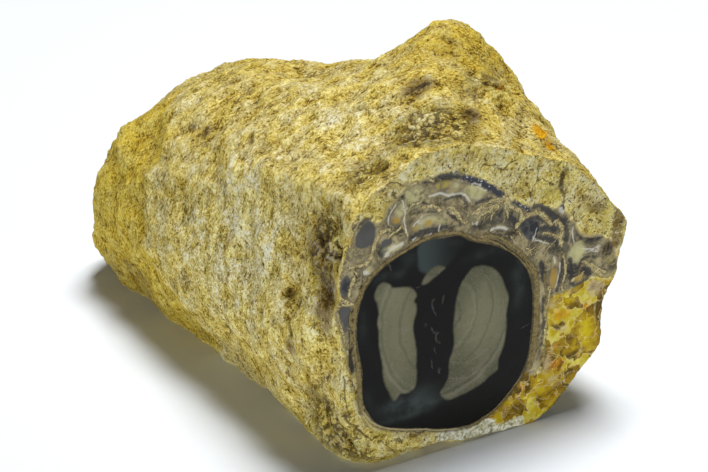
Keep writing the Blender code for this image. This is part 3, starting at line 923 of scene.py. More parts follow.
TINTS = {
    "cream": [
        ((-14, 72.6), (7, 2), 0.25), ((31.8, 48), (2.2, 2.6), 1.6), ((0, 73.4), (4, 2), 0.7),
        ((-24.4, 63), (2.6, 1.2), 0.9), ((6.8, 61.4), (2.6, 1), 0.4), ((24.9, 47.4), (0.9, 1.4), 0.6),
        ((-31.2, 58.8), (1.6, 1.4), 0.5), ((-12, 67.6), (3, 1.4), 0.5), ((-18.4, 76), (3.4, 2.4), 0.8),
        ((-22, 71.6), (1.2, 2.6), 0.5), ((33, 59.6), (2.6, 2.4), 0.5), ((-33, 9), (2.6, 1.6), 0.6),
        ((-35, 21.4), (0.8, 2), 0.5),
    ],
    "amber": [
        ((-14, 67.6), (1.3, 0.9), 0.8), ((-17.8, 66.8), (1, 0.8), 0.7), ((-23.2, 70.4), (1.1, 0.8), 1.1),
        ((24.8, 42.4), (1, 3), 1.2), ((28, 30.8), (2.4, 1.6), 0.8), ((27, 15.8), (2.6, 1.7), 0.9),
        ((26.6, 21.6), (1.2, 1), 0.6), ((-36.8, 69), (1.2, 2.4), 0.9), ((18.8, 26), (0.6, 4), 0.7),
        ((33, 40), (1.6, 1), 0.8), ((36, 30.6), (2, 2), 0.5), ((16, 12), (2, 2), 0.4),
        ((-15.6, 5.2), (1.4, 1), 0.6), ((-20, 73), (0.8, 1), 0.4), ((35.6, 55), (1.4, 1), 0.3),
    ],
    "lemon": [
        ((30, 34.5), (2.6, 1.7), 1.0), ((36, 27), (2.6, 4), 0.7), ((35.4, 22.6), (3, 2.6), 1.0),
        ((31, 19.2), (3, 1.4), 0.9), ((-10, 77), (3, 1.2), 0.7), ((20, 12.6), (1.6, 1.4), 0.8),
        ((21, 67.4), (3.6, 2), 0.8), ((40.6, 56.4), (2.4, 3), 0.8), ((24.6, 65.8), (1.6, 1.4), 0.6),
        ((12.6, 8.6), (1.6, 1.4), 0.6), ((17.4, 7.6), (1.4, 1.2), 0.8), ((33.4, 15), (1.6, 1.2), 0.5),
        ((42.6, 43), (1.8, 1.6), 0.5), ((-27, 11), (3.4, 1.6), 0.5), ((-38, 35), (1, 8), 0.4),
    ],
    "smoke": [
        ((22, 58), (6, 5), 0.6), ((10, 58.6), (7, 2.6), 0.4), ((5, 62.8), (5, 2), 0.5),
        ((29, 42), (4, 4), 0.5), ((25, 50.6), (4, 1.8), 0.8), ((31, 53), (1.2, 3), 0.6),
        ((36.4, 50), (4.4, 1.2), 0.8), ((6, 64), (3, 2), 0.6), ((11, 62.6), (2, 2), 0.8),
        ((-20, 77.8), (1.6, 1), 0.5), ((-8, 78.8), (5, 1.2), 1.0), ((-19, 74.6), (2, 3), 0.3),
        ((-22, 66.6), (1.4, 1.6), 0.5), ((20, 58.6), (3, 2), 0.6), ((1, 62.8), (3, 1.4), 0.5),
        ((29.4, 50), (1.6, 1.6), 0.6), ((30.4, 45.6), (1.2, 3), 0.8), ((20.4, 41), (1, 3), 0.4),
        ((-28.2, 63.6), (1.2, 3), 0.5), ((-37.6, 56), (1.4, 2), 0.6), ((-31.8, 63), (2.4, 1.6), 0.4),
        ((-6, 72.4), (2.4, 1), 0.4),
    ],
    "milky": [
        ((38.4, 36), (2.6, 2.4), 1.2), ((24, 17), (1.4, 3), 0.8), ((26, 11.8), (2, 1.2), 0.7),
        ((29, 26.2), (1.4, 1.2), 0.6), ((25, 34.6), (1.6, 1.6), 0.7), ((19.4, 17.4), (1.2, 2.4), 0.9),
        ((30, 36.6), (3, 0.7), 0.5), ((33.4, 34), (1.4, 1), 0.4), ((38.8, 30), (0.5, 4), 0.5),
        ((11, 5.6), (2, 1.2), 0.4), ((-17, 63.4), (4, 0.8), 0.2), ((-24, 61), (3, 0.8), 0.5),
    ],
    "brown": [
        ((38, 59.4), (3, 2), 1.0), ((33, 63.4), (2.2, 1.2), 0.8), ((45, 56), (1.6, 6), 1.2),
        ((44.6, 49), (2, 3), 0.9), ((35, 60.6), (1, 1), 0.5), ((13, 73.6), (2, 1), 0.5),
        ((26, 70.4), (1, 3), 0.8), ((41.4, 28), (1.6, 6), 1.1), ((31.8, 27.2), (1, 0.8), 0.9),
        ((31, 23.6), (2.4, 1.8), 0.6), ((25.8, 26.4), (2.2, 2), 0.8), ((22.4, 19), (0.8, 3.4), 0.8),
        ((26, 7.8), (3, 1.4), 0.9), ((22.4, 6.3), (2.4, 1.4), 0.8), ((31, 12.6), (1.6, 1), 1.1),
        ((21.4, 7), (1.2, 1), 1.1), ((18, 12), (1, 1.8), 1.0), ((15.6, 10.6), (1.6, 1), 0.6),
        ((10.4, 6.8), (1.4, 0.8), 0.6), ((15, 6), (1, 1), 0.6), ((32, 44), (3, 3), 0.5),
        ((35, 41.6), (1.8, 1.4), 0.7), ((41, 47), (2, 3), 0.5), ((21, 46), (1.4, 3), 0.7),
        ((2, 60.4), (5, 1.2), 0.6), ((12, 58), (2.4, 2.4), 0.5), ((-35.6, 15), (1.4, 1.4), 0.8),
        ((-36.6, 71.2), (2, 1), 0.7), ((-17, 7.4), (2.6, 0.8), 1.1), ((17, 68.4), (0.9, 2), 0.8),
        ((-31, 9.4), (1.4, 1), 0.3), ((-38, 20), (1, 3), 0.5), ((-36.4, 35), (0.6, 4), 0.6),
        ((-36, 28), (0.8, 4), 0.7),
    ],
    "glow": [((-22, 40), (9, 22), 0.75), ((3, 36), (9, 12), 1.0), ((-24, 49), (4, 4), 0.3)],
    # Where a painted bluish reflection lies on the polished black core.
    "reflection_haze": [
        ((-18.4, 16.6), (7, 2.4), 1.0), ((-12, 60), (8, 1.6), 0.45), ((-20, 58), (4, 2), 0.3),
        ((-24, 18.4), (4, 2), 0.5), ((-15, 19.6), (4, 2), 0.4), ((-12, 15.6), (5, 1), 0.4),
        ((-20, 13.8), (7, 1), 0.5), ((-31, 22), (1.4, 3), 0.3), ((13.8, 44), (2.2, 7), 0.6),
        ((-27, 55.6), (2.6, 1.6), 0.5), ((-22.4, 55.6), (2, 1.4), 0.35), ((4, 54.6), (6, 1.6), 0.35),
        ((-32.6, 44), (1.4, 5), 0.25),
    ],
}
store_on_face("calcite", shape_field(CALCITE))
store_on_face("strip", shape_field(STRIP))
store_lines("vein", VEINS, tremble=0.14)
store_lines("crack", CRACKS, tremble=0.16)
for name, places in TINTS.items():
    amount = np.zeros(len(points))
    amount[on_face] = spots(face_points, places)
    store(name, np.clip(amount, 0, 1))
print("calcite, strip,", len(CRACKS), "cracks and", len(TINTS), "tints drawn")

# %% [markdown]
# ## A short way to write materials
#
# A material is a tree of nodes. These helpers add a node and join it up in one line each, so that the
# recipes further down read like sums.

# %% Helpers for materials


def add(tree, kind, inputs=(), **settings):
    """Adds a shader node. Each input is a plain value or another node's output."""
    node = tree.nodes.new("ShaderNode" + kind)
    for setting, value in settings.items():
        setattr(node, setting, value)
    for key, value in dict(inputs).items():
        if isinstance(value, bpy.types.NodeSocket):
            tree.links.new(value, node.inputs[key])
        elif value is not None:
            node.inputs[key].default_value = value
    return node


def sums(tree, operation, a, b=None, clamp=False):
    """One step of arithmetic on numbers."""
    return add(tree, "Math", {0: a, 1: b}, operation=operation, use_clamp=clamp).outputs[0]


def product(tree, a, b):
    """One number times another."""
    return sums(tree, "MULTIPLY", a, b)


def total(tree, first, *others):
    """Some numbers added up."""
    for value in others:
        first = sums(tree, "ADD", first, value)
    return first


def centred(tree, value, amount):
    """Noise moved to swing both ways round zero, times an amount."""
    return product(tree, sums(tree, "SUBTRACT", value, 0.5), amount)


def vector(tree, operation, a, b):
    """One step of arithmetic on places."""
    return add(tree, "VectorMath", {0: a, 1: b}, operation=operation).outputs[0]


def fit(tree, value, low, high, to_low=0.0, to_high=1.0):
    """Maps value from one range to another, easing at both ends."""
    inputs = {0: value, 1: low, 2: high, 3: to_low, 4: to_high}
    return add(tree, "MapRange", inputs, interpolation_type="SMOOTHSTEP").outputs[0]


def mixed(tree, factor, a, b, blend="MIX"):
    """Mixes two colours."""
    a, b = (value if isinstance(value, bpy.types.NodeSocket) else (*value, 1) for value in (a, b))
    return add(tree, "Mix", {0: factor, 6: a, 7: b}, data_type="RGBA", blend_type=blend).outputs[2]


def laid(tree, under, over, mask, most=1.0, blend="MIX"):
    """Lays one colour over another where a mask says, and no stronger than most."""
    return mixed(tree, product(tree, mask, most), under, over, blend)


def ramp(tree, value, *stops):
    """A colour ramp, given as (place, colour) stops."""
    node = add(tree, "ValToRGB", {0: value})
    band = node.color_ramp
    while len(band.elements) < len(stops):
        band.elements.new(0.5)
    for element, (place, colour) in zip(band.elements, stops):
        element.position = place
        element.color = (*colour, 1)
    return node.outputs[0]


def noise(tree, place, size, detail=2.0, rough=0.5):
    """Soft noise from 0 to 1 with lumps about size millimetres across."""
    inputs = {"Vector": place, "Scale": 1 / size, "Detail": detail, "Roughness": rough}
    return add(tree, "TexNoise", inputs).outputs[0]


def stored(tree, name):
    """A number stored on the points."""
    return add(tree, "Attribute", attribute_name=name).outputs["Fac"]


print("helpers ready")

# %% [markdown]
# ## Shared effects
#
# Five small effects are used again and again, so each is one node group. `edge` turns a stored distance
# into a shape with a slightly ragged rim. `bands` cuts any field into parallel bands, each with its own
# shade, for the agate and the growth rings. `crystal` gives grains with borders, for calcite, rubble and
# sparkle. `blot` turns a soft stored spot into a stain with a ragged rim. `thread` draws the thin lines,
# thicker here and thinner there.

# %% Shared effects


def new_group(name, inputs, outputs):
    """Starts a node group with named sockets. A default of None makes a place, not a number."""
    tree = bpy.data.node_groups.new(name, "ShaderNodeTree")
    for label, default in inputs.items():
        kind = "NodeSocketVector" if default is None else "NodeSocketFloat"
        socket = tree.interface.new_socket(name=label, in_out="INPUT", socket_type=kind)
        if default is not None:
            socket.default_value = default
    for label in outputs:
        kind = "NodeSocketColor" if label == "Colour" else "NodeSocketFloat"
        tree.interface.new_socket(name=label, in_out="OUTPUT", socket_type=kind)
    start = tree.nodes.new("NodeGroupInput").outputs
    end = tree.nodes.new("NodeGroupOutput").inputs
    return tree, start, end


edge, start, end = new_group(
    "edge",
    {"Position": None, "Distance": 0.0, "Wobble": 0.3, "Size": 1.5, "Softness": 0.15},
    ["Inside", "Wobbled"],
)
scale = sums(edge, "DIVIDE", 1.0, start["Size"])
lumps = add(edge, "TexNoise", {"Vector": start["Position"], "Scale": scale, "Detail": 2.0}).outputs[0]
wobbled = total(edge, start["Distance"], centred(edge, lumps, product(edge, start["Wobble"], 4.0)))
far_side = product(edge, start["Softness"], -1.0)
edge.links.new(fit(edge, wobbled, start["Softness"], far_side), end["Inside"])
edge.links.new(wobbled, end["Wobbled"])

bands, start, end = new_group(
    "bands", {"Position": None, "Field": 0.0, "Spacing": 1.0, "Wobble": 0.3}, ["Step"]
)
shift = centred(bands, noise(bands, start["Position"], 4.0, 3.0), start["Wobble"])
phase = sums(bands, "DIVIDE", total(bands, start["Field"], shift), start["Spacing"])
whole = add(bands, "CombineXYZ", {0: sums(bands, "FLOOR", phase)}).outputs[0]
bands.links.new(add(bands, "TexWhiteNoise", {"Vector": whole}).outputs["Value"], end["Step"])

crystal, start, end = new_group(
    "crystal", {"Position": None, "Size": 1.0, "Border": 0.08}, ["Border", "Shade", "Peak"]
)
cells = {"Vector": start["Position"], "Scale": sums(crystal, "DIVIDE", 1.0, start["Size"])}
borders = add(crystal, "TexVoronoi", cells, feature="DISTANCE_TO_EDGE").outputs[0]
centres = add(crystal, "TexVoronoi", cells).outputs
shade = add(crystal, "SeparateColor", {0: centres["Color"]}).outputs[0]
crystal.links.new(fit(crystal, borders, start["Border"], 0.0), end["Border"])
crystal.links.new(shade, end["Shade"])
crystal.links.new(sums(crystal, "SUBTRACT", 1.0, centres["Distance"], clamp=True), end["Peak"])

blot, start, end = new_group("blot", {"Stain": 0.0, "Noise": 0.5, "Raggedness": 1.0}, ["Amount"])
swing = centred(blot, start["Noise"], product(blot, start["Raggedness"], 3.0))
stain = product(blot, start["Stain"], total(blot, swing, 1.0))
blot.links.new(fit(blot, stain, 0.1, 0.8), end["Amount"])

thread, start, end = new_group(
    "thread",
    {"Position": None, "Across": FAR, "Near": FAR, "Softness": 0.4, "Unevenness": 0.8},
    ["Line"],
)
uneven = product(thread, start["Unevenness"], 2.0)
swell = total(thread, centred(thread, noise(thread, start["Position"], 1.3, 2.0), uneven), 1.0)
outer = total(thread, swell, start["Softness"])
inner = sums(thread, "SUBTRACT", swell, start["Softness"])
body = fit(thread, sums(thread, "ABSOLUTE", start["Across"]), outer, inner)
thread.links.new(product(thread, body, fit(thread, start["Near"], 0.5, 0.25)), end["Line"])
print("shared effects:", [tree.name for tree in (edge, bands, crystal, blot, thread)])

# %% [markdown]
# ## Weathered stone
#
# The crust is a sugary mass of small ochre grains, and the saw only cut it flat, so both sides of the cut
# share one recipe. It is a group as well. Noises of four sizes are added up, from grains to broad patches,
# and the sum picks a colour from dark clay to pale dust. What stands out is higher on that scale than what
# lies deep, which paints light on the high spots and shade in the hollows. Part of the stone is more
# golden, and small dark specks sit in the hollows. They are partly dark grains and partly painted shade in
# small pits.

# %% Weathered stone
weathered, start, end = new_group(
    "weathered", {"Position": None, "Height": 0.0, "Lift": 0.0}, ["Colour", "Lumps", "Grains", "Relief"]
)
tree, place = weathered, start["Position"]
along = vector(tree, "MULTIPLY", place, (0.6, 1.0, 0.6))
grains = noise(tree, place, 0.7, 3.0, 0.7)
flakes = noise(tree, along, 0.9, 3.0, 0.6)
lumps = noise(tree, place, 3.2, 3.0, 0.6)
patches = noise(tree, place, 15.0, 4.0, 0.6)
hues = noise(tree, vector(tree, "ADD", place, (40, 0, 0)), 6.0, 4.0, 0.6)
# Height moves the level up on high spots and down in hollows: painted light and painted shade.
level = total(tree, product(tree, start["Height"], 0.5), 0.49, start["Lift"])
for value, amount in ((grains, 2.4), (flakes, 1.0), (lumps, 1.2), (patches, 0.4)):
    level = total(tree, level, centred(tree, value, amount))
colour = ramp(
    tree, level,
    (0.0, (0.10, 0.055, 0.010)), (0.22, (0.34, 0.24, 0.045)), (0.46, (0.57, 0.455, 0.135)),
    (0.68, (0.71, 0.60, 0.23)), (0.98, (0.90, 0.84, 0.53)),
)
golden = mixed(tree, 1.0, colour, (1.0, 0.93, 0.58), "MULTIPLY")
dusty = mixed(tree, 0.2, colour, (0.62, 0.52, 0.27))
colour = mixed(tree, fit(tree, hues, 0.42, 0.62), golden, dusty)
# Dark specks gather where the surface lies deep. They are partly dark grains and partly painted shade in
# small pits.
specks = noise(tree, vector(tree, "ADD", along, (9, 4, 2)), 0.7, 3.0, 0.6)
specks = total(tree, specks, product(tree, start["Height"], 0.09), centred(tree, lumps, 0.26))
specks = fit(tree, specks, 0.39, 0.33)
colour = laid(tree, colour, (0.10, 0.06, 0.014), specks, 0.8)
relief = total(tree, grains, product(tree, flakes, 0.6), product(tree, specks, -0.4))
for label, value in {"Colour": colour, "Lumps": lumps, "Grains": grains, "Relief": relief}.items():
    tree.links.new(value, end[label])
print("weathered stone ready")

# %% [markdown]
# ## The rough crust's finish
#
# The crust takes the weathered recipe at its own measured height, so its high spots carry painted light
# and its hollows painted shade, and it is paler and darker from place to place. Each stain then multiplies
# the colour, so that the grains still show through it, where a flat colour laid over them would look like
# fog. Where the rubble lies, rounded nodules stand out, with painted shade in the gaps between them.

# %% The rough crust's finish


def material(name, specular):
    """A material with one Principled shader, and its tree, shader and place in millimetres."""
    made = bpy.data.materials.new(name)
    made.use_nodes = True
    tree = made.node_tree
    shader = tree.nodes["Principled BSDF"]
    shader.inputs["Specular IOR Level"].default_value = specular
    place = add(tree, "TexCoord").outputs["Object"]
    return made, tree, shader, vector(tree, "MULTIPLY", place, (1000, 1000, 1000))


def finish_material(tree, shader, colour, roughness, relief, depth):
    """Joins the colour, the roughness and a bump of some depth in millimetres to the shader."""
    tree.links.new(colour, shader.inputs["Base Color"])
    tree.links.new(roughness, shader.inputs["Roughness"])
    bump = add(tree, "Bump", {"Strength": 1.0, "Distance": depth * MM, "Height": relief})
    tree.links.new(bump.outputs[0], shader.inputs["Normal"])


def use(tree, group, label, **inputs):
    """Uses a node group: its inputs by name, and one of its outputs."""
    return add(tree, "Group", inputs, node_tree=group).outputs[label]


crust, tree, shader, place = material("rough_crust", 0.15)
lift = 0.0
for spot, amount in (("pale", 0.26), ("grey", -0.25), ("broken", 0.08), ("orange", 0.02)):
    lift = total(tree, product(tree, stored(tree, spot), amount), lift)
skin_inputs = {"Position": place, "Height": stored(tree, "height"), "Lift": lift}
colour, lumps, grains, relief = add(tree, "Group", skin_inputs, node_tree=weathered).outputs
ragged = total(tree, product(tree, total(tree, grains, lumps), 0.9), -0.4)

iron = product(tree, stored(tree, "ochre"), fit(tree, lumps, 0.35, 0.6, 0.5, 1.0))
iron = sums(tree, "MAXIMUM", stored(tree, "broken"), iron)
colour = mixed(tree, iron, colour, (0.88, 0.80, 0.36), "MULTIPLY")
loose = use(tree, blot, "Amount", Stain=stored(tree, "rubble"), Noise=ragged, Raggedness=1.0)
nodules = use(tree, crystal, "Peak", Position=place, Size=1.5)
# Painted shade in the gaps between the rubble's nodules.
gaps = product(tree, loose, fit(tree, nodules, 0.52, 0.30))
colour = laid(tree, colour, (0.08, 0.055, 0.02), gaps, 0.8)
relief = total(tree, relief, product(tree, product(tree, loose, nodules), 1.4))
# The cleft stain is painted shade. The broad pale spot on the near side is partly painted light.
for spot, ratio, most, noisy in (
    ("pale", (1.15, 1.22, 1.7), 0.6, 1.6),
    ("grey", (0.36, 0.33, 0.58), 0.85, 1.8),
    ("orange", (0.98, 0.60, 0.02), 1.0, 1.7),
    ("honey", (0.70, 0.68, 0.74), 0.8, 0.8),
    ("cleft", (0.16, 0.12, 0.12), 0.85, 3.0),
):
    amount = use(tree, blot, "Amount", Stain=stored(tree, spot), Noise=ragged, Raggedness=noisy)
    colour = laid(tree, colour, ratio, amount, most, "MULTIPLY")
roughness = fit(tree, stored(tree, "honey"), 0.2, 1.0, 0.9, 0.4)
finish_material(tree, shader, colour, roughness, relief, 0.75)
print("rough crust ready")

# %% [markdown]
# ## The polished face: sawn crust
#
# The face is painted from the outside in, each layer over the last, as the eye sees it. The sawn crust
# comes first. It is the weathered recipe at a slightly smaller scale, with painted shade in the pits that
# the saw opened.

# %% The polished face: sawn crust
face, tree, shader, place = material("polished_face", 0.1)
sand = noise(tree, place, 1.0, 4.0, 0.65)
fine = noise(tree, place, 0.45, 2.0, 0.6)
rag = noise(tree, place, 1.6, 3.0, 0.6)
clouds = noise(tree, vector(tree, "ADD", place, (31, 0, 17)), 4.5, 3.0)
skin_inputs = {
    "Position": vector(tree, "MULTIPLY", place, (1.3, 1, 1.3)),
    "Lift": total(tree, product(tree, noise(tree, place, 4.0, 3.0), 0.9), -0.25),
}
skin = add(tree, "Group", skin_inputs, node_tree=weathered).outputs
colour = mixed(tree, fit(tree, clouds, 0.52, 0.72, 0.0, 0.35), skin["Colour"], (0.36, 0.285, 0.14))
# Painted shade in the open pits of the sawn crust.
pits = noise(tree, vector(tree, "ADD", place, (5, 0, 9)), 1.1, 3.0, 0.6)
pits = fit(tree, pits, 0.37, 0.30)
colour = laid(tree, colour, (0.05, 0.032, 0.010), pits, 0.8)
print("sawn crust painted")

# %% [markdown]
# ## The polished face: agate
#
# The agate is cloudy grey-brown. Its bands follow the shores of the pools, because it grew inwards from
# the walls of each hollow, so the distance to the nearest pool is the field that is banded. Swirled noise
# adds thin pale ridges and dark hollows. Lenses, pools, soft tints, dark bands, the sparkling seam, the
# tan strands and the white shores follow in that order. The dark bands include painted shade in small
# caves and voids, and each strand gets a rim of painted shade. A white shore is drawn twice, wide and
# faint and then thin and bright, which gives it the glow of a milky layer below the polish.

# %% The polished face: agate


def paint(under, over, name, wobble=0.15, size=1.2, softness=0.2, shift=0.0, most=1.0):
    """Paints a drawn shape over a colour."""
    far = total(tree, stored(tree, name), shift)
    rim = {"Wobble": wobble, "Size": size, "Softness": softness}
    shape = use(tree, edge, "Inside", Position=place, Distance=far, **rim)
    return laid(tree, under, over, shape, most)


def draw(under, over, name, most=1.0, softness=0.4, uneven=0.8):
    """Draws stored thin lines over a colour."""
    across, near = stored(tree, name), stored(tree, name + "_near")
    width = {"Softness": softness, "Unevenness": uneven}
    line = use(tree, thread, "Line", Position=place, Across=across, Near=near, **width)
    return laid(tree, under, over, line, most)


def tint(under, name, tone, most=0.85, ragged=1.0, blend="MIX"):
    """Lays a soft stain over a colour, its rim made ragged by noise."""
    amount = use(tree, blot, "Amount", Stain=stored(tree, name), Noise=rag, Raggedness=ragged)
    return laid(tree, under, tone, amount, most, blend)


agate_colour = ramp(
    tree, total(tree, centred(tree, clouds, 2.2), centred(tree, rag, 0.9), 0.5),
    (0.10, (0.045, 0.036, 0.024)), (0.4, (0.14, 0.11, 0.055)), (0.6, (0.23, 0.185, 0.09)),
    (0.85, (0.46, 0.38, 0.20)),
)
shores = use(tree, bands, "Step", Position=place, Field=stored(tree, "pool"), Spacing=0.55, Wobble=1.4)
agate_colour = laid(tree, agate_colour, (0.40, 0.35, 0.21), shores, 0.4)
swirl = add(tree, "TexNoise", {"Vector": place, "Scale": 0.3, "Detail": 2.0}).outputs["Color"]
swirl = vector(tree, "MULTIPLY", vector(tree, "SUBTRACT", swirl, (0.5, 0.5, 0.5)), (8, 0, 8))
warped = vector(tree, "ADD", place, swirl)
ridges = sums(tree, "ABSOLUTE", centred(tree, noise(tree, warped, 2.6, 2.0), 1.0))
hollows = noise(tree, vector(tree, "ADD", warped, (3, 0, 8)), 2.2, 3.0, 0.6)
agate_colour = mixed(tree, fit(tree, hollows, 0.40, 0.33, 0.0, 0.75), agate_colour, (0.055, 0.045, 0.032))
agate_colour = mixed(tree, fit(tree, ridges, 0.04, 0.012, 0.0, 0.6), agate_colour, (0.44, 0.36, 0.18))
colour = paint(colour, (0.40, 0.32, 0.14), "agate", 0.4, 2.0, 0.4)
colour = paint(colour, agate_colour, "agate", 0.4, 2.0, 0.4, 0.7)

lens_colour = mixed(tree, clouds, (0.065, 0.062, 0.055), (0.125, 0.122, 0.11))
colour = paint(colour, lens_colour, "lens", 0.15, 1.5, 0.35)
pool_colour = ramp(
    tree, clouds,
    (0.34, (0.17, 0.14, 0.09)), (0.46, (0.34, 0.26, 0.145)), (0.54, (0.36, 0.32, 0.14)),
    (0.62, (0.50, 0.45, 0.25)),
)
near_rim = fit(tree, total(tree, stored(tree, "pool"), centred(tree, rag, 1.4)), -0.8, 0.1, 0.0, 0.75)
pool_colour = mixed(tree, near_rim, pool_colour, (0.16, 0.135, 0.095))
colour = paint(colour, pool_colour, "pool", 0.2, 1.4, 0.5)
colour = tint(colour, "smoke", (0.33, 0.35, 0.44), 1.0, 1.8, "MULTIPLY")
colour = tint(colour, "brown", (0.42, 0.36, 0.28), 1.0, 1.6, "MULTIPLY")
colour = tint(colour, "cream", (0.62, 0.57, 0.27), 0.7, 1.4)
# Dark bands: partly smoky agate, partly painted shade in small caves and voids.
colour = paint(colour, (0.040, 0.040, 0.042), "dark", 0.35, 1.1, 0.35, 0.0, 0.85)
glints = fit(tree, use(tree, crystal, "Peak", Position=place, Size=0.7), 0.66, 0.80)
glints = product(tree, glints, fit(tree, rag, 0.44, 0.54))
seam_colour = mixed(tree, glints, (0.05, 0.052, 0.062), (0.60, 0.60, 0.58))
colour = paint(colour, seam_colour, "seam", 0.5, 1.2, 0.5)
tan = ramp(
    tree, total(tree, fine, centred(tree, rag, 0.7)),
    (0.30, (0.16, 0.11, 0.04)), (0.46, (0.44, 0.35, 0.14)), (0.68, (0.72, 0.62, 0.33)),
)
# Painted shade round each tan strand.
colour = paint(colour, (0.06, 0.046, 0.03), "strand_near", 0.3, 0.9, 0.5, -0.25, 0.6)
colour = draw(colour, tan, "strand", 0.95, 0.5, 1.4)
colour = draw(colour, (0.50, 0.46, 0.33), "white", 0.6, 2.4, 1.0)
colour = draw(colour, (0.74, 0.72, 0.60), "white", 0.6, 0.9, 1.8)
print("agate painted")

# %% [markdown]
# ## The polished face: calcite
#
# Calcite crystals are clear honey, with milky veins where one meets the next. Large cells and small ones
# lie over each other, and both are warped by the agate's swirl, because real crystals crowd each other.
# Each cell's shade picks a place on one ramp from brown to lemon, and the stored tints push it up or down.
# Amber and lemon lie flat on the agate but multiply the calcite, whose cells have to stay visible.

# %% The polished face: calcite
large = use(tree, crystal, "Shade", Position=warped, Size=4.4)
borders = use(tree, crystal, "Border", Position=warped, Size=4.4, Border=0.05)
small = use(tree, crystal, "Shade", Position=warped, Size=1.9)
rims = use(tree, crystal, "Border", Position=warped, Size=1.9, Border=0.09)
shine = total(tree, centred(tree, large, 0.9), centred(tree, small, 0.3), centred(tree, rag, 0.6), 0.48)
for name, lift in (("lemon", 0.32), ("amber", -0.12), ("brown", -0.42), ("milky", 0.12)):
    shine = total(tree, shine, product(tree, stored(tree, name), lift))
calcite_colour = ramp(
    tree, shine,
    (0.0, (0.11, 0.065, 0.004)), (0.25, (0.30, 0.175, 0.004)), (0.5, (0.46, 0.30, 0.006)),
    (0.75, (0.58, 0.43, 0.010)), (1.0, (0.72, 0.62, 0.12)),
)
fade = fit(tree, rag, 0.40, 0.58, 0.1, 1.0)
calcite_colour = laid(tree, calcite_colour, (0.76, 0.60, 0.30), product(tree, borders, fade), 0.75)
calcite_colour = laid(tree, calcite_colour, (0.64, 0.50, 0.12), product(tree, rims, fade), 0.16)
colour = paint(colour, calcite_colour, "calcite", 0.4, 2.0, 0.4)
strip_colour = ramp(
    tree, total(tree, centred(tree, sand, 1.4), 0.5),
    (0.2, (0.22, 0.19, 0.08)), (0.42, (0.56, 0.52, 0.28)), (0.6, (0.97, 0.95, 0.78)),
)
colour = paint(colour, strip_colour, "strip", 0.3, 1.4, 0.4)
in_calcite = fit(tree, stored(tree, "calcite"), 0.3, -0.3)
for name, tone, ratio, most in (
    ("amber", (0.46, 0.28, 0.03), (1.25, 0.88, 0.8), 0.75),
    ("lemon", (0.60, 0.48, 0.06), (1.15, 1.2, 0.7), 0.55),
):
    on_agate = tint(colour, name, tone, most)
    on_calcite = tint(colour, name, ratio, 1.0, 1.6, "MULTIPLY")
    colour = mixed(tree, in_calcite, on_agate, on_calcite)
colour = tint(colour, "milky", (0.56, 0.44, 0.24), 0.65)
colour = draw(colour, (0.72, 0.58, 0.30), "vein", 0.25, 0.9, 1.8)
colour = draw(colour, (0.07, 0.045, 0.015), "crack", 0.75, 0.8, 1.8)
print("calcite painted")

# %% [markdown]
# ## The polished face: rind
#
# The rind is a sandy tan line that comes and goes round the core. Everything near the core is darkened
# first, so that the line stands out against it, and the open gaps, painted black as shade, are drawn last.

# %% The polished face: rind
core_far = use(tree, edge, "Wobbled", Position=place, Distance=stored(tree, "core"), Wobble=0.12, Size=1.6)
colour = mixed(tree, fit(tree, core_far, 2.0, 0.4, 0.0, 0.85), colour, (0.075, 0.055, 0.025))
colour = paint(colour, (0.06, 0.042, 0.02), "rind_near", 0.2, 0.9, 0.3, -0.25, 0.7)
colour = draw(colour, mixed(tree, 0.7, tan, (0.11, 0.072, 0.012)), "rind", 1.0, 0.35, 1.3)
colour = draw(colour, (0.50, 0.41, 0.22), "shine", 0.85, 0.6)
# Painted shade in the rind's open gaps.
colour = draw(colour, (0.03, 0.022, 0.012), "gap", 0.9, 0.5)
print("rind painted")

# %% [markdown]
# ## The polished face: limb
#
# The silica of the core is black. A painted reflection makes it bluish in a few hazy places, and one veil
# of it has a straight left rim and fades to the right. The two patches and the sliver are grey-green, with
# growth rings that are bands of the distance from the pith, a few clearer rings drawn, and a little fine
# sand.

# %% The polished face: limb
# Painted reflection on the polished core: a bluish haze in a few places and one veil with a straight left
# rim.
painted_reflection = product(tree, stored(tree, "reflection_haze"), fit(tree, clouds, 0.3, 0.65, 0.3, 1.0))
reflection_veil_rim = {"Wobble": 0.2, "Size": 2.5, "Softness": 0.8}
reflection_veil = use(tree, edge, "Inside", Position=place, Distance=stored(tree, "reflection_veil"), **reflection_veil_rim)
to_the_right = add(tree, "SeparateXYZ", {0: place}).outputs[0]
reflection_veil = product(tree, reflection_veil, fit(tree, to_the_right, -17, -5, 1.0, 0.1))
painted_reflection = sums(tree, "MAXIMUM", painted_reflection, reflection_veil)
black = mixed(tree, clouds, (0.003, 0.003, 0.002), (0.007, 0.007, 0.005))
core_colour = mixed(tree, painted_reflection, black, (0.046, 0.060, 0.055))

bright = fit(tree, stored(tree, "glow"), 0.0, 1.0)
patch_colour = mixed(tree, bright, (0.088, 0.085, 0.048), (0.195, 0.186, 0.106))
patch_colour = mixed(tree, fit(tree, clouds, 0.45, 0.7, 0.0, 0.35), patch_colour, (0.23, 0.19, 0.13))
patch_colour = mixed(tree, fit(tree, rag, 0.5, 0.3, 0.0, 0.3), patch_colour, (0.11, 0.11, 0.07))
from_pith = vector(tree, "MULTIPLY", vector(tree, "SUBTRACT", place, (-8, 0, 40)), (1, 0, 0.85))
ring_far = add(tree, "VectorMath", {0: from_pith}, operation="LENGTH").outputs[1]
growth = use(tree, bands, "Step", Position=place, Field=ring_far, Spacing=0.9, Wobble=2.0)
patch_colour = mixed(tree, fit(tree, growth, 0.4, 0.0, 0.0, 0.5), patch_colour, (0.075, 0.072, 0.045))
patch_colour = mixed(tree, fit(tree, growth, 0.65, 1.0, 0.0, 0.4), patch_colour, (0.28, 0.265, 0.18))
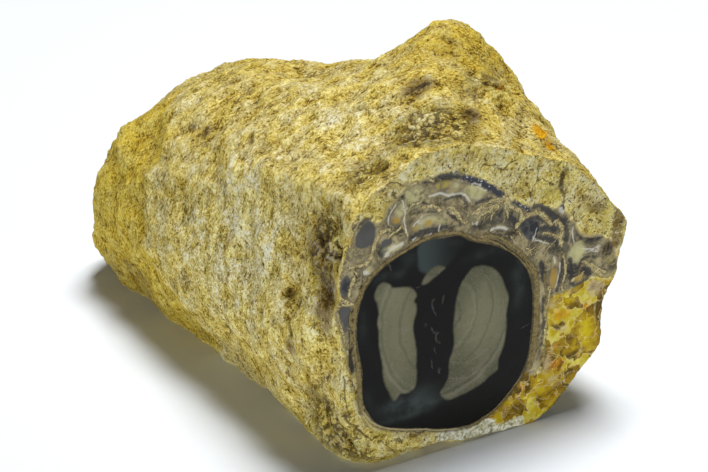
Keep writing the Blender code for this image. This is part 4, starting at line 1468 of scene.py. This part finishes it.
patch_colour = draw(patch_colour, (0.25, 0.24, 0.16), "ring", 0.35, 0.9, 1.2)
patch_colour = mixed(tree, fit(tree, fine, 0.5, 0.75, 0.0, 0.45), patch_colour, (0.26, 0.25, 0.17))
core_colour = paint(core_colour, patch_colour, "patch", 0.1, 1.5, 0.5)
core_colour = draw(core_colour, (0.15, 0.135, 0.115), "fleck", 0.33, 0.9, 1.8)
colour = mixed(tree, fit(tree, core_far, 0.2, -0.2), colour, core_colour)
print("limb painted")

# %% [markdown]
# ## The polished face: gloss
#
# The saw and the polish left no height on the agate, the calcite and the limb, and they shine. The crust
# is too soft to take a polish, so it stays dull, and its grains and pits get a little relief.

# %% The polished face: gloss
polish = fit(tree, sums(tree, "MINIMUM", stored(tree, "agate"), stored(tree, "calcite")), 0.6, -0.6)
gloss = fit(tree, polish, 0.0, 1.0, 0.5, 0.16)
gloss = sums(tree, "MINIMUM", gloss, fit(tree, core_far, -0.3, 0.3, 0.1, 0.5))
open_crust = product(tree, sums(tree, "SUBTRACT", 1.0, polish), fit(tree, core_far, 1.5, 2.5))
relief = product(tree, sums(tree, "SUBTRACT", skin["Relief"], pits), open_crust)
finish_material(tree, shader, colour, gloss, relief, 0.45)
print("polished face ready")

# %% [markdown]
# ## Finishing the stone
#
# The two finishes go on: the polished one on the flat front, the crust everywhere else. Smooth shading is
# kept within the crust, and every fold sharper than `SHARP` degrees, such as the rim of the cut, stays sharp.

# %% Finishing the stone
SHARP = 60
stone.data.materials.append(crust)
stone.data.materials.append(face)
for polygon in stone.data.polygons:
    flat_front = polygon.normal.y < -0.999 and polygon.center.y / MM < FACE_Y + 2 * HAIR
    polygon.material_index = int(flat_front)
pick_only(stone)
bpy.ops.object.shade_smooth_by_angle(angle=math.radians(SHARP))
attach(stone, "root")
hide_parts("limb")
print("triangles:", sum(len(p.vertices) - 2 for p in stone.data.polygons))

# %% [markdown]
# ## The floor and the light
#
# A plain pale floor runs past every edge of the picture. One soft lamp hangs above and a little behind, so
# the stone's shadow lies toward the viewer. A second, low at the front left, lights the sawn end, and a
# faint pale sky fills the rest.

# %% The floor and the light
bpy.ops.mesh.primitive_plane_add(size=30, location=(0, 0, 0))
floor = bpy.context.object
floor.name = "floor"
pale_floor = bpy.data.materials.new("pale_floor")
pale_floor.use_nodes = True
floor_shader = pale_floor.node_tree.nodes["Principled BSDF"]
floor_shader.inputs["Base Color"].default_value = (0.82, 0.85, 0.89, 1)
floor_shader.inputs["Roughness"].default_value = 0.9
floor_shader.inputs["Specular IOR Level"].default_value = 0.0
floor.data.materials.append(pale_floor)

sky = bpy.data.worlds.new("pale_sky")
sky.use_nodes = True
sky.node_tree.nodes["Background"].inputs["Color"].default_value = (0.75, 0.87, 1, 1)
sky.node_tree.nodes["Background"].inputs["Strength"].default_value = 0.03
bpy.context.scene.world = sky


def soft_lamp(name, location, target, size, power):
    """A square area lamp that looks at target."""
    lamp = bpy.data.lights.new(name, "AREA")
    lamp.shape = "SQUARE"
    lamp.size = size
    lamp.energy = power
    thing = bpy.data.objects.new(name, lamp)
    bpy.context.scene.collection.objects.link(thing)
    thing.location = location
    aim = Vector(target) - Vector(location)
    thing.rotation_euler = aim.to_track_quat("-Z", "Y").to_euler()
    return lamp


soft_lamp("overhead_softbox", (0.2, 0.11, 1.18), target=(0, 0, 0.03), size=0.42, power=17.5)
fill = soft_lamp("front_fill", (-1.3, -1.2, 0.09), target=(0, 0, 0.05), size=0.5, power=24.2)
fill.color = (0.93, 0.96, 1.0)
print("floor and light ready")

# %% [markdown]
# ## The camera
#
# A long lens looks down on the stone from the front left.

# %% The camera
camera_data = bpy.data.cameras.new("camera")
camera_data.lens = 109.32
camera_data.sensor_width = 36
camera = bpy.data.objects.new("camera", camera_data)
bpy.context.scene.collection.objects.link(camera)
camera.location = (-0.26984, -0.48149, 0.29793)
camera.rotation_euler = [math.radians(angle) for angle in (64, 0, -30)]
bpy.context.scene.camera = camera
bpy.context.scene.view_settings.view_transform = "Standard"
bpy.context.scene.view_settings.look = "None"
print("camera set")
